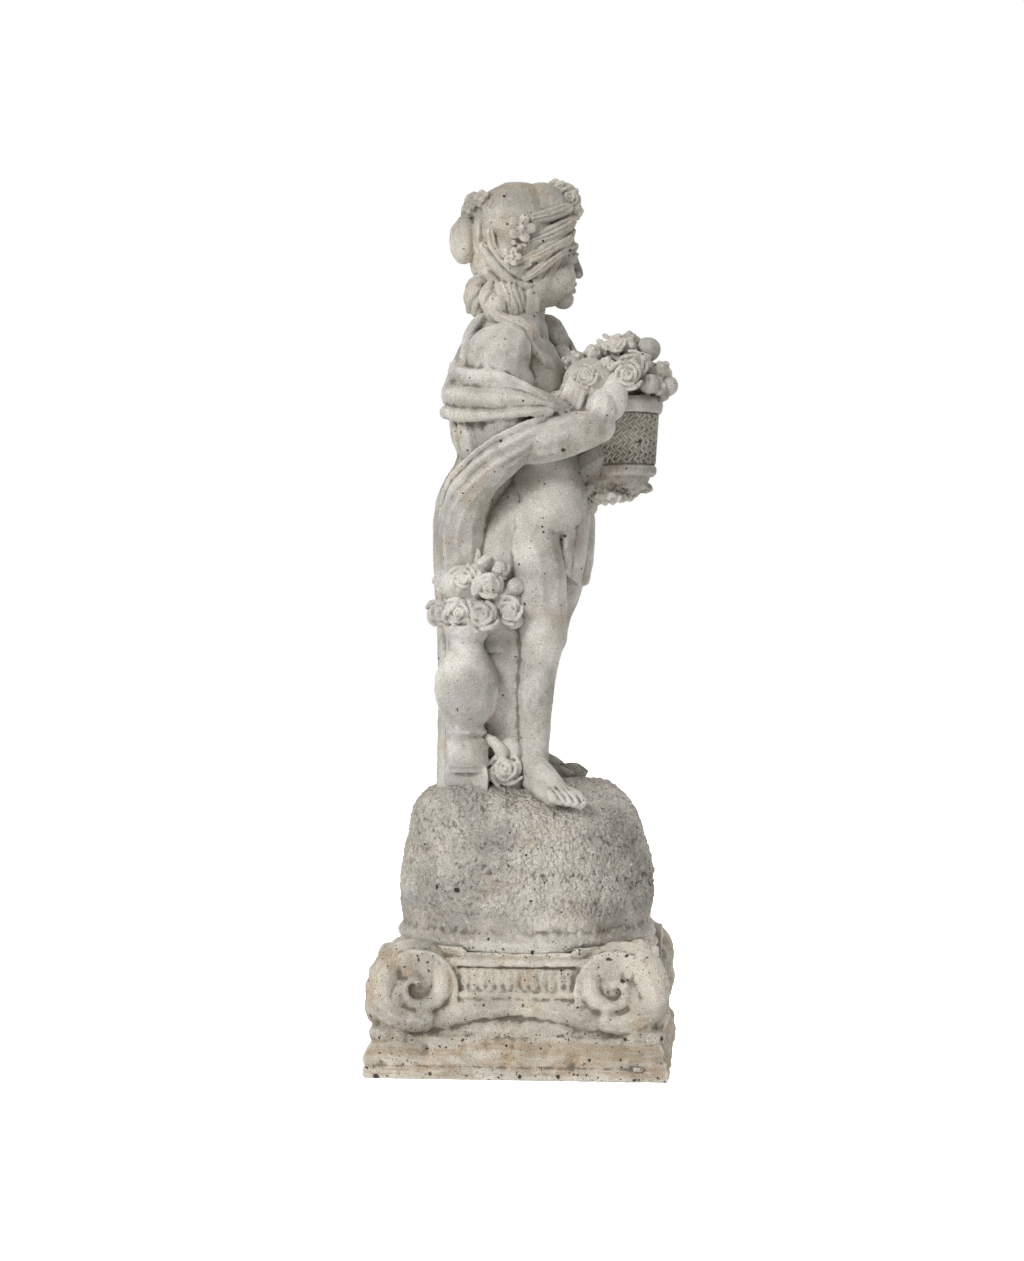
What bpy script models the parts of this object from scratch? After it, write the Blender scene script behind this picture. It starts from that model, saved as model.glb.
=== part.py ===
"""A garden statue of a girl who carries a basket of fruit, cast in stone, on an upturned Ionic capital.

Blender 4.5, metres, +Z up. She looks along -Y, so her right hand is on the -X side.
Two castings: the capital stands on the ground, and the statue with its rocky mound rests on the capital.
Both are modelled the way a modeller works in clay: balls, tapering rolls and stacked sections are pressed together,
and a voxel remesh turns them into one skin.
"""

import math

import bmesh
import bpy
from mathutils import Euler, Matrix, Vector, noise

# Sizes of the capital
CAPITAL_WIDTH = 0.298
SLAB_HEIGHT = 0.040
SEAT_HEIGHT = 0.121
VOLUTE_RADIUS = 0.049
VOLUTE_INSET = 0.055
FACE_DEPTH = 0.003

# Sizes of the mound and the figure on it
SEAT_GAP = 0.0003
SEAT_RADIUS = 0.1385
MOUND_RADIUS = 0.129
MOUND_HEIGHT = 0.163
MOUND_SLUMP = 0.022
RING_HEIGHT = 0.018
RING_PROUD = 0.004
FIGURE_HEIGHT = 0.617

# How finely the clay is read, and how many triangles each casting keeps
FLESH_VOXEL = 0.004
SKIN_VOXEL = 0.0028
STATUE_TRIANGLES = 6800
CAPITAL_TRIANGLES = 2800

# The figure is drawn in units of a 617th of her height, which are millimetres at full size
FIGURE_UNITS = 617
UNIT = FIGURE_HEIGHT / FIGURE_UNITS

STONE = (0.56, 0.53, 0.48, 1.0)
PALE_STONE = (0.63, 0.60, 0.54, 1.0)


def clear_scene():
    for obj in list(bpy.data.objects):
        bpy.data.objects.remove(obj, do_unlink=True)


def stone_material(name, colour):
    material = bpy.data.materials.new(name)
    material.use_nodes = True
    shader = material.node_tree.nodes["Principled BSDF"]
    shader.inputs["Base Color"].default_value = colour
    shader.inputs["Roughness"].default_value = 0.9
    shader.inputs["Metallic"].default_value = 0.0
    return material


def smooth_through(points, steps):
    """Points on a Catmull-Rom curve through tuples of any length, a radius among them."""
    ends = [points[0], *points, points[-1]]
    found = []
    for a, b, c, d in zip(ends, ends[1:], ends[2:], ends[3:]):
        for i in range(steps):
            t = i / steps
            weights = (
                (-t + 2 * t * t - t**3) / 2,
                (2 - 5 * t * t + 3 * t**3) / 2,
                (t + 4 * t * t - 3 * t**3) / 2,
                (-t * t + t**3) / 2,
            )
            found.append(tuple(sum(w * p[k] for w, p in zip(weights, (a, b, c, d))) for k in range(len(a))))
    return found + [tuple(points[-1])]


def unit_solid(operator, **sizes):
    """The points and faces of a small solid, made once and copied from then on."""
    work = bmesh.new()
    operator(work, **sizes)
    points = [v.co.copy() for v in work.verts]
    faces = [[v.index for v in f.verts] for f in work.faces]
    work.free()
    return points, faces


BALL = unit_solid(bmesh.ops.create_uvsphere, u_segments=18, v_segments=10, radius=1)
CUBE = unit_solid(bmesh.ops.create_cube, size=1)
DRUM = unit_solid(bmesh.ops.create_cone, cap_ends=True, segments=40, radius1=1, radius2=1, depth=1)


class Clay:
    """Clay pressed together. Lengths are in units of `place`, which may also move and turn what is added."""

    def __init__(self, place):
        self.place = place
        self.points = []
        self.faces = []
        self.rolls = bpy.data.curves.new("rolls", "CURVE")
        self.rolls.dimensions = "3D"
        self.rolls.bevel_depth = 1.0
        self.rolls.bevel_resolution = 3
        self.rolls.use_fill_caps = True

    def press(self, solid, shape):
        first = len(self.points)
        placed = self.place @ shape
        self.points += [placed @ point for point in solid[0]]
        self.faces += [[first + i for i in face] for face in solid[1]]

    def ball(self, at, radii, turn=(0, 0, 0)):
        """An egg with half-axes `radii`, turned by degrees about X, Y and Z."""
        spin = Euler([math.radians(a) for a in turn]).to_matrix().to_4x4()
        self.press(BALL, Matrix.Translation(at) @ spin @ Matrix.Diagonal((*radii, 1)))

    def box(self, low, high):
        size = Vector(high) - Vector(low)
        self.press(CUBE, Matrix.Translation((Vector(low) + Vector(high)) / 2) @ Matrix.Diagonal((*size, 1)))

    def drum(self, at, radius, depth):
        """A round drum whose axis is along Y."""
        upright = Matrix.Rotation(math.pi / 2, 4, "X") @ Matrix.Diagonal((radius, radius, depth, 1))
        self.press(DRUM, Matrix.Translation(at) @ upright)

    def roll(self, *points, steps=6):
        """A tapering roll through (x, y, z, radius) points, with round ends."""
        scale = self.place.to_scale().x
        path = smooth_through(points, steps)
        spline = self.rolls.splines.new("POLY")
        spline.points.add(len(path) - 1)
        for point, (x, y, z, r) in zip(spline.points, path):
            point.co = (*(self.place @ Vector((x, y, z))), 1)
            point.radius = r * scale
        for x, y, z, r in (points[0], points[-1]):
            self.ball((x, y, z), (r, r, r))

    def pair(self, *points):
        """A roll and its mirror image across the X = 0 plane."""
        self.roll(*points)
        self.roll(*[(-x, y, z, r) for x, y, z, r in points])

    def stack(self, sections, steps=4, sides=40, ripple=None, square=False):
        """A solid through level ovals or squares, each (z, centre x, centre y, half-width x, half-width y)."""
        levels = smooth_through(sections, steps)
        points = []
        for z, cx, cy, rx, ry in levels:
            for i in range(sides):
                a = 2 * math.pi * i / sides
                swell = 1 + (ripple(a, z) if ripple else 0)
                if square:
                    swell /= max(abs(math.cos(a)), abs(math.sin(a)))
                points.append(Vector((cx + swell * rx * math.cos(a), cy + swell * ry * math.sin(a), z)))
        faces = [list(range(sides))[::-1], list(range(len(points) - sides, len(points)))]
        for row in range(0, len(points) - sides, sides):
            for i in range(sides):
                j = (i + 1) % sides
                faces.append([row + i, row + j, row + sides + j, row + sides + i])
        self.press((points, faces), Matrix.Identity(4))

    def add_mesh(self, mesh):
        first = len(self.points)
        self.points += [v.co.copy() for v in mesh.vertices]
        self.faces += [[first + i for i in p.vertices] for p in mesh.polygons]

    def joined(self):
        """One mesh of everything so far, its lumps still overlapping."""
        holder = bpy.data.objects.new("rolls", self.rolls)
        bpy.context.scene.collection.objects.link(holder)
        graph = bpy.context.evaluated_depsgraph_get()
        if self.rolls.splines:
            self.add_mesh(bpy.data.meshes.new_from_object(holder.evaluated_get(graph)))
        bpy.data.objects.remove(holder)
        mesh = bpy.data.meshes.new("clay")
        mesh.from_pydata(self.points, [], self.faces)
        return mesh


def skinned(mesh, voxel, smoothing):
    """The mesh under a voxel remesh, smoothed."""
    obj = bpy.data.objects.new("skin", mesh)
    bpy.context.scene.collection.objects.link(obj)
    remesh = obj.modifiers.new("One skin", "REMESH")
    remesh.mode = "VOXEL"
    remesh.voxel_size = voxel
    soften = obj.modifiers.new("Thumbed smooth", "SMOOTH")
    soften.factor = 0.5
    soften.iterations = smoothing
    graph = bpy.context.evaluated_depsgraph_get()
    skin = bpy.data.meshes.new_from_object(obj.evaluated_get(graph))
    bpy.data.objects.remove(obj)
    return skin


def thinned(mesh, triangles):
    """The mesh in so many triangles, most of them kept where it curves most."""
    obj = bpy.data.objects.new("thin", mesh)
    bpy.context.scene.collection.objects.link(obj)
    thin = obj.modifiers.new("Fewer faces", "DECIMATE")
    thin.ratio = min(1.0, triangles / sum(len(p.vertices) - 2 for p in mesh.polygons))
    thin.use_collapse_triangulate = True
    graph = bpy.context.evaluated_depsgraph_get()
    found = bpy.data.meshes.new_from_object(obj.evaluated_get(graph))
    bpy.data.objects.remove(obj)
    return found


def cut_level(mesh, height, keep_above):
    """Cuts the mesh flat at a height and closes it there, as a casting is struck off."""
    work = bmesh.new()
    work.from_mesh(mesh)
    found = bmesh.ops.bisect_plane(
        work,
        geom=[*work.verts, *work.edges, *work.faces],
        dist=1e-6,
        plane_co=(0, 0, height),
        plane_no=(0, 0, 1),
        clear_inner=keep_above,
        clear_outer=not keep_above,
    )
    rim = [e for e in found["geom_cut"] if isinstance(e, bmesh.types.BMEdge)]
    bmesh.ops.holes_fill(work, edges=rim, sides=0)
    for vertex in {v for e in rim for v in e.verts}:
        vertex.co.z = height
    bmesh.ops.triangulate(work, faces=work.faces)
    work.to_mesh(mesh)
    work.free()


def frame_at(place, at, turn=(0, 0, 0), scale=1.0):
    """A place of its own on the clay, for a flower, a foot or a hand."""
    spin = Euler([math.radians(a) for a in turn]).to_matrix().to_4x4()
    return place @ Matrix.Translation(at) @ spin @ Matrix.Scale(scale, 4)


# The figure, in units above the top of the mound


def model_flesh(place):
    clay = Clay(place)
    torso = [
        (236, 0, -12, 44, 34),
        (262, 0, -15, 71, 44),
        (286, 0, -18, 67, 47),
        (310, 0, -17, 60, 45),
        (335, 0, -12, 55, 41),
        (365, 0, -7, 56, 40),
        (395, 0, -4, 59, 41),
        (420, 0, -1, 60, 38),
        (442, 0, 4, 51, 33),
        (458, 0, 8, 32, 25),
        (470, 0, 6, 24, 23),
    ]
    clay.stack(torso)
    clay.roll((0, 8, 450, 26), (0, 4, 478, 23), (0, 0, 506, 24))
    clay.pair((-54, 12, 438, 25), (-69, 14, 428, 27), (-77, 17, 398, 25), (-80, 16, 345, 22))
    clay.pair((-80, 12, 342, 22), (-77, -25, 343, 23), (-63, -62, 350, 19), (-49, -88, 366, 14.5))
    clay.roll(
        (-31, -12, 258, 38),
        (-37, -15, 225, 37),
        (-39, -17, 195, 32.5),
        (-40, -18.5, 150, 27.5),
        (-41, -13, 116, 22.5),
        (-42, -12, 82, 19.5),
        (-43, -11.5, 34, 16.5),
        (-45, -9, -2, 15),
    )
    clay.roll(
        (32, -14, 258, 38),
        (39, -22, 215, 35),
        (40, -20, 170, 28),
        (40, -14, 148, 25),
        (41, -8, 116, 22),
        (42, -6, 80, 18.5),
        (42, -6, 34, 15),
        (42, -4, 10, 14),
    )
    return skinned(clay.joined(), FLESH_VOXEL, 12)


def model_foot(clay, place):
    """A bare foot from its heel at the origin, its toes along -Y."""
    clay.place = place
    clay.ball((0, 4, 8), (13, 14, 14))
    clay.roll((0, 0, 12, 13), (0, -22, 10, 13), (1, -40, 5, 12), (2, -54, 2, 10))
    clay.roll((-6, -10, 4, 9), (-9, -34, 2, 9), (-9, -50, 0, 8))
    clay.roll((7, -12, 4, 8), (10, -36, 2, 9), (11, -52, 1, 8))
    for n, (across, length, r) in enumerate([(11, 72, 6.5), (3.5, 71, 5), (-2.5, 68, 4.6), (-8, 64, 4.3), (-13, 59, 4)]):
        clay.roll((across * 0.9, -50, 3, r), (across, -length + 6, 3.5, r * 0.9), (across, -length, 0.5, r))


def model_hand(clay, side):
    """A hand laid along the basket's side, fingers over the rim. `side` is -1 for her right and 1 for her left."""
    s = -side
    clay.roll((-52 * s, -86, 366, 15), (-44 * s, -97, 380, 13.5), (-39 * s, -103, 390, 11))
    for n in range(4):
        y = -92 - 8.5 * n
        lift = 4 * math.sin(math.pi * (n + 0.6) / 4)
        clay.roll(
            (-41 * s, y - 4, 382 + lift, 6.5),
            (-37 * s, y - 6, 397 + lift, 6),
            (-26 * s, y - 7, 402 + lift, 5.2),
        )
    clay.roll((-44 * s, -84, 378, 8), (-38 * s, -76, 392, 7), (-28 * s, -76, 400, 6))


def model_head(clay, place):
    """Her head, looking along -Y, with the neck's top at the origin."""
    clay.place = place
    clay.ball((0, 2, 61), (44, 50, 46))
    clay.ball((0, -19, 32), (35, 33, 39))
    clay.ball((0, -34, 4), (15, 13, 11))
    for s in (-1, 1):
        clay.ball((18 * s, -29, 18), (17, 17, 17))
        clay.roll((6 * s, -49, 56, 4), (17 * s, -48, 60, 4.5), (28 * s, -40, 56, 4))
        clay.ball((16 * s, -44, 46), (8, 6, 6))
        clay.ball((5 * s, -53, 27), (4, 5, 3.5))
    clay.roll((0, -49, 52, 5), (0, -53, 40, 5), (0, -58, 29, 6))
    clay.roll((-9, -49, 14, 2.5), (0, -53.5, 15.5, 4), (9, -49, 14, 2.5))
    clay.roll((-7, -49, 9.5, 3), (0, -52.5, 9, 4), (7, -49, 9.5, 3))


def model_hair(clay, place):
    """Waved hair, drawn back from the face to a bun, with long locks at the nape."""
    clay.place = place
    clay.ball((0, 8, 69), (48, 50, 51))
    clay.ball((0, 26, 42), (42, 34, 36))
    for s in (-1, 1):
        for n, (x, y, z) in enumerate([(7, -46, 101), (23, -43, 94), (36, -31, 80), (43, -17, 60), (45, -8, 38)]):
            t = n / 4
            clay.roll(
                (x * s, y, z, 6),
                (x * s + 7 * s * (1 - t), y + 17, z + 8 - 12 * t, 8.5),
                (s * (43 - 2 * t), 8 + 6 * t, 88 - 56 * t, 8),
                (s * (33 - 4 * t), 38, 72 - 42 * t, 7),
            )
        clay.roll((46 * s, -2, 40, 6), (44 * s, 14, 20, 7), (30 * s, 32, 12, 7), (12 * s, 44, 16, 6))
        clay.roll((42 * s, -12, 26, 5), (42 * s, 2, 10, 6), (30 * s, 22, 3, 6), (14 * s, 36, 4, 6))
    clay.ball((0, 69, 52), (25, 13, 27))
    clay.roll((0, 50, 70, 10), (0, 56, 52, 12), (0, 48, 30, 10))
    clay.roll((-2, 44, 12, 9), (-6, 56, 0, 10), (-8, 61, -14, 9.5), (-8, 55, -27, 6))
    clay.roll((8, 44, 10, 8), (14, 54, -4, 9), (16, 56, -18, 7))
    clay.roll((-22, 36, 4, 10), (-36, 26, -18, 9), (-50, 4, -28, 8), (-56, -8, -40, 8), (-50, -10, -50, 5))
    clay.roll((-18, 40, -4, 9), (-34, 38, -22, 8), (-50, 28, -32, 7), (-60, 14, -34, 6))


def model_flower(clay, place, radius, petals=5):
    """An open flower that faces +Z of its place: a ring of cupped petals round a button."""
    clay.place = place
    clay.ball((0, 0, -0.1 * radius), (0.55 * radius, 0.55 * radius, 0.4 * radius))
    for n in range(petals):
        a = 360 * n / petals
        clay.place = place @ Euler((0, 0, math.radians(a))).to_matrix().to_4x4()
        clay.ball((0.62 * radius, 0, 0), (0.42 * radius, 0.36 * radius, 0.22 * radius), (0, -18, 0))
    clay.place = place
    clay.ball((0, 0, 0.2 * radius), (0.22 * radius,) * 3)


def model_rose(clay, place, radius):
    """A full rose that faces +Z of its place: rings of petal edges that close on a bud."""
    clay.place = place
    clay.ball((0, 0, -0.25 * radius), (0.95 * radius, 0.95 * radius, 0.6 * radius))
    for ring, (reach, lift, thick) in enumerate([(0.84, 0.02, 0.2), (0.52, 0.26, 0.16)]):
        for n in range(3):
            start = 120 * n + 50 * ring
            arc = [math.radians(start + 33 * k) for k in range(5)]
            path = [
                (
                    radius * reach * (1 + 0.05 * k) * math.cos(a),
                    radius * reach * (1 + 0.05 * k) * math.sin(a),
                    radius * (lift - 0.03 * k),
                    radius * thick * (1 - 0.12 * abs(k - 2)),
                )
                for k, a in enumerate(arc)
            ]
            clay.roll(*path, steps=3)
    clay.ball((0, 0, 0.22 * radius), (0.24 * radius, 0.24 * radius, 0.3 * radius))


def facing(at, direction, place):
    """A place at a point, its +Z along a direction."""
    turn = Vector(direction).to_track_quat("Z", "Y").to_matrix().to_4x4()
    return place @ Matrix.Translation(at) @ turn


def model_wreath(clay, head):
    """Flowers in her hair: a tuft over the brow, blooms at the sides and a knot of leaves behind."""
    model_rose(clay, facing((-8, -43, 103), (-0.75, -0.6, 0.3), head), 17)
    model_flower(clay, facing((-2, -34, 118), (-0.1, -0.2, 1), head), 12)
    model_rose(clay, facing((12, -42, 102), (0.7, -0.6, 0.3), head), 15)
    for s in (-1, 1):
        model_flower(clay, facing((47 * s, 6, 70), (s, 0, 0.25), head), 17)
        model_flower(clay, facing((49 * s, 14, 44), (s, 0, -0.05), head), 11)
    clay.place = head
    for x, y, z, r in [(-12, 46, 99, 9), (6, 48, 100, 9), (-22, 44, 90, 8), (20, 44, 92, 8), (-2, 57, 89, 8), (-30, 32, 98, 7)]:
        clay.ball((x, y, z), (r, r, r * 0.8))


def model_mantle(clay, place):
    """The cloth behind her, from her shoulders to the rock, thick enough to carry the casting."""
    clay.place = place

    def gathers(a, z):
        behind = max(0.0, math.sin(a))
        return 0.055 * behind * math.cos(9 * a + 0.012 * z) * min(1.0, max(0.0, (330 - z) / 120))

    fall = [
        (-24, 2, 58, 70, 36),
        (40, 2, 57, 68, 34),
        (100, 2, 57, 63, 33),
        (160, 2, 55, 61, 37),
        (220, 2, 51, 63, 43),
        (268, 2, 48, 66, 47),
        (300, 2, 42, 68, 46),
        (328, 2, 33, 70, 39),
        (350, 2, 32, 75, 46),
        (374, 2, 33, 82, 48),
        (392, 2, 32, 86, 56),
        (408, 2, 30, 84, 54),
        (432, 2, 27, 74, 47),
        (450, 2, 22, 60, 44),
        (466, 2, 18, 42, 38),
        (478, 2, 16, 28, 28),
    ]
    clay.stack(fall, ripple=gathers, sides=64)
    clay.stack([(-20, 2, 28, 50, 22), (90, 2, 30, 50, 26), (190, 2, 26, 54, 26), (250, 2, 24, 50, 20)])


def model_wrap(clay, place):
    """The cloth's edge: round her arms, over her left shoulder and across her right forearm."""
    clay.place = place
    for lift, out, r in [(0, 0, 13), (14, 2, 11), (25, -1, 7)]:
        clay.pair(
            (-24, 74 - lift * 0.4, 391 + lift, r),
            (-66, 62 - lift * 0.3, 386 + lift, r),
            (-92 - out, 28, 388 + lift * 0.9, r * 0.9),
            (-90 - out, -6, 396 + lift * 0.6, r * 0.7),
            (-71, -34, 400 + lift * 0.2, r * 0.55),
            (-44, -44, 396 + lift * 0.1, r * 0.45),
        )
    clay.roll((-80, 50, 410, 7), (-70, 56, 430, 7), (-54, 55, 450, 7), (-34, 47, 466, 7), (-10, 43, 474, 7))
    for shift, r in [(0, 8), (12, 7)]:
        clay.roll(
            (12 + shift, 42, 476, r),
            (36 + shift, 12, 482 - 0.5 * shift, r),
            (46 + shift, -20, 469 - 0.5 * shift, r),
            (43 + shift, -40, 446, r),
            (30 + shift, -49, 421, r),
            (10 + shift, -50, 396, r * 0.8),
        )
    clay.ball((36, -16, 442), (27, 27, 40))
    clay.ball((26, -28, 415), (27, 24, 36))
    clay.stack([(376, 70, 10, 24, 44), (400, 72, 8, 26, 44), (430, 64, 8, 28, 38), (456, 48, 10, 20, 30)])
    clay.pair((-81, -14, 366, 15), (-86, 18, 338, 18), (-76, 48, 302, 21), (-58, 60, 256, 24), (-46, 60, 200, 24))
    for t, r in [(0.0, 8), (0.34, 9.5), (0.67, 9.5), (1.0, 7.5)]:
        ribbon = [
            (-66 - 16 * t, -44 + 12 * t, 394 - 30 * t, r * 0.6),
            (-90 - 11 * t, -16 + 8 * t, 383 - 45 * t, r * 0.9),
            (-98 - 1 * t, 18 + 2 * t, 362 - 48 * t, r),
            (-91 + 2 * t, 51 - 10 * t, 335 - 50 * t, r),
            (-73 - 4 * t, 69 - 13 * t, 303 - 48 * t, r),
            (-48 - 21 * t, 80 - 18 * t, 258 - 40 * t, r * 0.9),
            (-32 - 31 * t, 83 - 16 * t, 196 - 24 * t, r * 0.7),
            (-30 - 33 * t, 84 - 18 * t, 120 - 14 * t, r * 0.5),
        ]
        clay.pair(*ribbon)


def model_basket(clay, place):
    """The basket that she carries, heaped with fruit and flowers."""
    clay.place = frame_at(place, (0, -102, 0))
    wall = [
        (308, 0, 0, 28, 28),
        (313, 0, 0, 31, 31),
        (320, 0, 0, 30, 30),
        (326, 0, 0, 27, 27),
        (345, 0, 0, 27, 27),
        (372, 0, 0, 31.5, 31.5),
        (375, 0, 0, 37, 37),
        (384, 0, 0, 38, 38),
        (390, 0, 0, 33, 33),
    ]
    clay.stack(wall, sides=32)
    fruit = [
        (0, -38, 404, 15), (-14, -22, 436, 17), (14, -30, 428, 15), (-26, -18, 408, 12), (28, -16, 408, 13),
        (-2, -8, 440, 12), (16, 2, 434, 14), (-18, -40, 388, 9), (18, -38, 388, 9), (-30, 2, 402, 11),
        (30, 6, 404, 12), (0, 20, 428, 14), (-14, 6, 434, 13), (0, -24, 414, 18), (0, 2, 412, 26),
    ]  # fmt: skip
    for x, y, z, r in fruit:
        clay.ball((x, y, z), (r, r, r * 0.95))
    model_rose(clay, facing((-34, -72, 408), (-1, -0.1, 0.2), place), 14)
    model_rose(clay, facing((-30, -92, 432), (-0.8, 0.1, 0.6), place), 12)
    model_flower(clay, facing((-24, -66, 436), (-0.6, 0.3, 0.8), place), 13)
    model_rose(clay, facing((32, -74, 410), (1, -0.1, 0.2), place), 14)
    model_flower(clay, facing((14, -62, 434), (0.5, 0.4, 0.8), place), 12)
    clay.place = place
    clay.roll((0, -52, 392, 22), (0, -66, 404, 22), (0, -80, 414, 20))
    clay.roll((0, -100, 317, 22), (0, -84, 308, 19), (0, -62, 297, 20), (0, -50, 272, 16))
    clay.roll((0, -46, 306, 24), (0, -64, 320, 22), (0, -86, 332, 20))
    clay.pair((-12, -120, 311, 6), (-16, -104, 302, 9), (-16, -82, 293, 10), (-10, -62, 283, 12))
    clay.roll((-4, -56, 274, 12), (-6, -54, 258, 13), (-2, -46, 240, 12), (0, -38, 228, 8))


def model_urn(clay, place):
    """The urn of roses that stands behind her right leg."""
    axis = (-66, 51, 0)
    clay.place = frame_at(place, axis)
    clay.stack(
        [
            (14, 0, 0, 20, 20),
            (20, 0, 0, 20, 20),
            (34, 0, 0, 15, 15),
            (46, 0, 0, 14, 14),
            (50, 0, 0, 18, 18),
            (55, 0, 0, 18, 18),
            (66, 0, 0, 23, 23),
            (92, 0, 0, 28.5, 28.5),
            (112, 0, 0, 28, 28),
            (130, 0, 0, 21, 21),
            (136, 0, 0, 19, 19),
            (142, 0, 0, 20, 20),
            (150, 0, 0, 24, 24),
        ],
        sides=28,
    )
    clay.box((-22, -21, -24), (22, 20, 13))
    clay.place = place
    clay.ball((-58, 50, 168), (30, 38, 20))
    clay.ball((-56, 58, 200), (22, 30, 24))
    blooms = [
        ((-84, 34, 170), (-1, -0.2, 0.0), 14),
        ((-72, 8, 176), (-1, -0.7, 0.1), 13),
        ((-86, 58, 178), (-1, 0.2, 0.2), 14),
        ((-70, 82, 174), (-0.6, 1, 0.1), 14),
        ((-78, 66, 156), (-1, 0.4, -0.5), 12),
        ((-72, 24, 200), (-1, -0.3, 0.4), 12),
        ((-74, 56, 206), (-1, 0.1, 0.5), 13),
        ((-58, 82, 206), (-0.5, 1, 0.4), 11),
    ]
    for at, direction, radius in blooms:
        model_rose(clay, facing(at, direction, place), radius)
    model_rose(clay, facing((-72, 16, 14), (-1, -0.1, 0.1), place), 17)
    clay.place = place
    clay.roll((-52, 10, 30, 12), (-54, 12, 0, 14), (-54, 14, -20, 14))


def model_mound(clay, place):
    """The rock she stands on, a rough drum with a rounded top and a ring moulding at its foot."""
    clay.place = place
    lift = RING_HEIGHT
    profile = [
        (-0.02, MOUND_RADIUS - 0.001),
        (0.0, MOUND_RADIUS - 0.001),
        (0.45 * lift, MOUND_RADIUS + RING_PROUD),
        (lift, MOUND_RADIUS - 0.003),
        (lift + 0.010, MOUND_RADIUS - 0.001),
        (0.36 * MOUND_HEIGHT, MOUND_RADIUS),
        (0.56 * MOUND_HEIGHT, MOUND_RADIUS - 0.003),
        (0.70 * MOUND_HEIGHT, MOUND_RADIUS - 0.009),
        (0.83 * MOUND_HEIGHT, MOUND_RADIUS * 0.87),
        (0.92 * MOUND_HEIGHT, MOUND_RADIUS * 0.78),
        (0.975 * MOUND_HEIGHT, MOUND_RADIUS * 0.64),
        (0.995 * MOUND_HEIGHT, MOUND_RADIUS * 0.42),
        (MOUND_HEIGHT, MOUND_RADIUS * 0.15),
    ]
    clay.stack([(z, 0, 0, r, r) for z, r in profile], sides=64)


def rough_rock(mesh, base, top):
    """Lumps and level scars on the rock, and a slump on her right where her foot steps down."""
    for vertex in mesh.vertices:
        share = (vertex.co.z - base) / (top - base)
        fade = min(1.0, max(0.0, (share - 0.15) * 8)) * min(1.0, max(0.0, (1.02 - share) * 6))
        lump = noise.noise(vertex.co * 24)
        vertex.co += vertex.normal * lump * 0.0035 * fade
        slope = min(1.0, max(0.0, (-0.75 * vertex.co.x - 0.66 * vertex.co.y - 0.025) / 0.07))
        high = min(1.0, max(0.0, (share - 0.5) * 2))
        vertex.co.z -= MOUND_SLUMP * slope * high


def make_statue(material):
    seat = SEAT_HEIGHT + SEAT_GAP
    rock_top = seat + MOUND_HEIGHT
    rock = Clay(Matrix.Translation((0, 0, seat)))
    model_mound(rock, rock.place)
    mound = skinned(rock.joined(), FLESH_VOXEL, 6)
    rough_rock(mound, seat, rock_top)
    figure = Matrix.Translation((0, 0, rock_top)) @ Matrix.Scale(UNIT, 4)
    clay = Clay(figure)
    clay.add_mesh(mound)
    clay.add_mesh(model_flesh(figure))
    clay.place = figure
    model_hand(clay, -1)
    model_hand(clay, 1)
    model_foot(clay, frame_at(figure, (-46, -4, -5), (15, 0, -40), 0.96))
    model_foot(clay, frame_at(figure, (42, 10, -3)))
    head = frame_at(figure, (0, 0, 490), (0, 0, 12))
    model_head(clay, head)
    model_hair(clay, head)
    model_wreath(clay, head)
    model_mantle(clay, figure)
    model_wrap(clay, figure)
    model_basket(clay, figure)
    model_urn(clay, figure)
    skin = skinned(clay.joined(), SKIN_VOXEL, 3)
    skin = thinned(skin, STATUE_TRIANGLES)
    cut_level(skin, seat, keep_above=True)
    statue = bpy.data.objects.new("statue", skin)
    skin.materials.clear()
    skin.materials.append(material)
    return statue


# The capital, in metres


def model_capital(clay):
    half = CAPITAL_WIDTH / 2
    slab = [
        (-0.010, 0.148),
        (0.000, 0.148),
        (0.004, 0.149),
        (0.010, 0.149),
        (0.013, 0.1465),
        (0.017, 0.1485),
        (0.022, 0.148),
        (0.027, 0.145),
        (0.033, 0.140),
        (SLAB_HEIGHT, 0.137),
    ]
    clay.stack([(z, 0, 0, w, w) for z, w in slab], sides=64, square=True)
    core = half - 0.034
    plate = half - 0.023
    clay.box((-core, -core, 0), (core, core, SEAT_HEIGHT + 0.004))
    clay.stack(
        [(z, 0, 0, w, w) for z, w in [(0.107, core), (0.113, plate - 0.003), (0.117, plate), (0.126, plate)]],
        sides=64,
        square=True,
    )
    for quarter in range(4):
        clay.place = Matrix.Rotation(quarter * math.pi / 2, 4, "Z")
        model_capital_face(clay, half - FACE_DEPTH)
    clay.place = Matrix.Identity(4)


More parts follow.
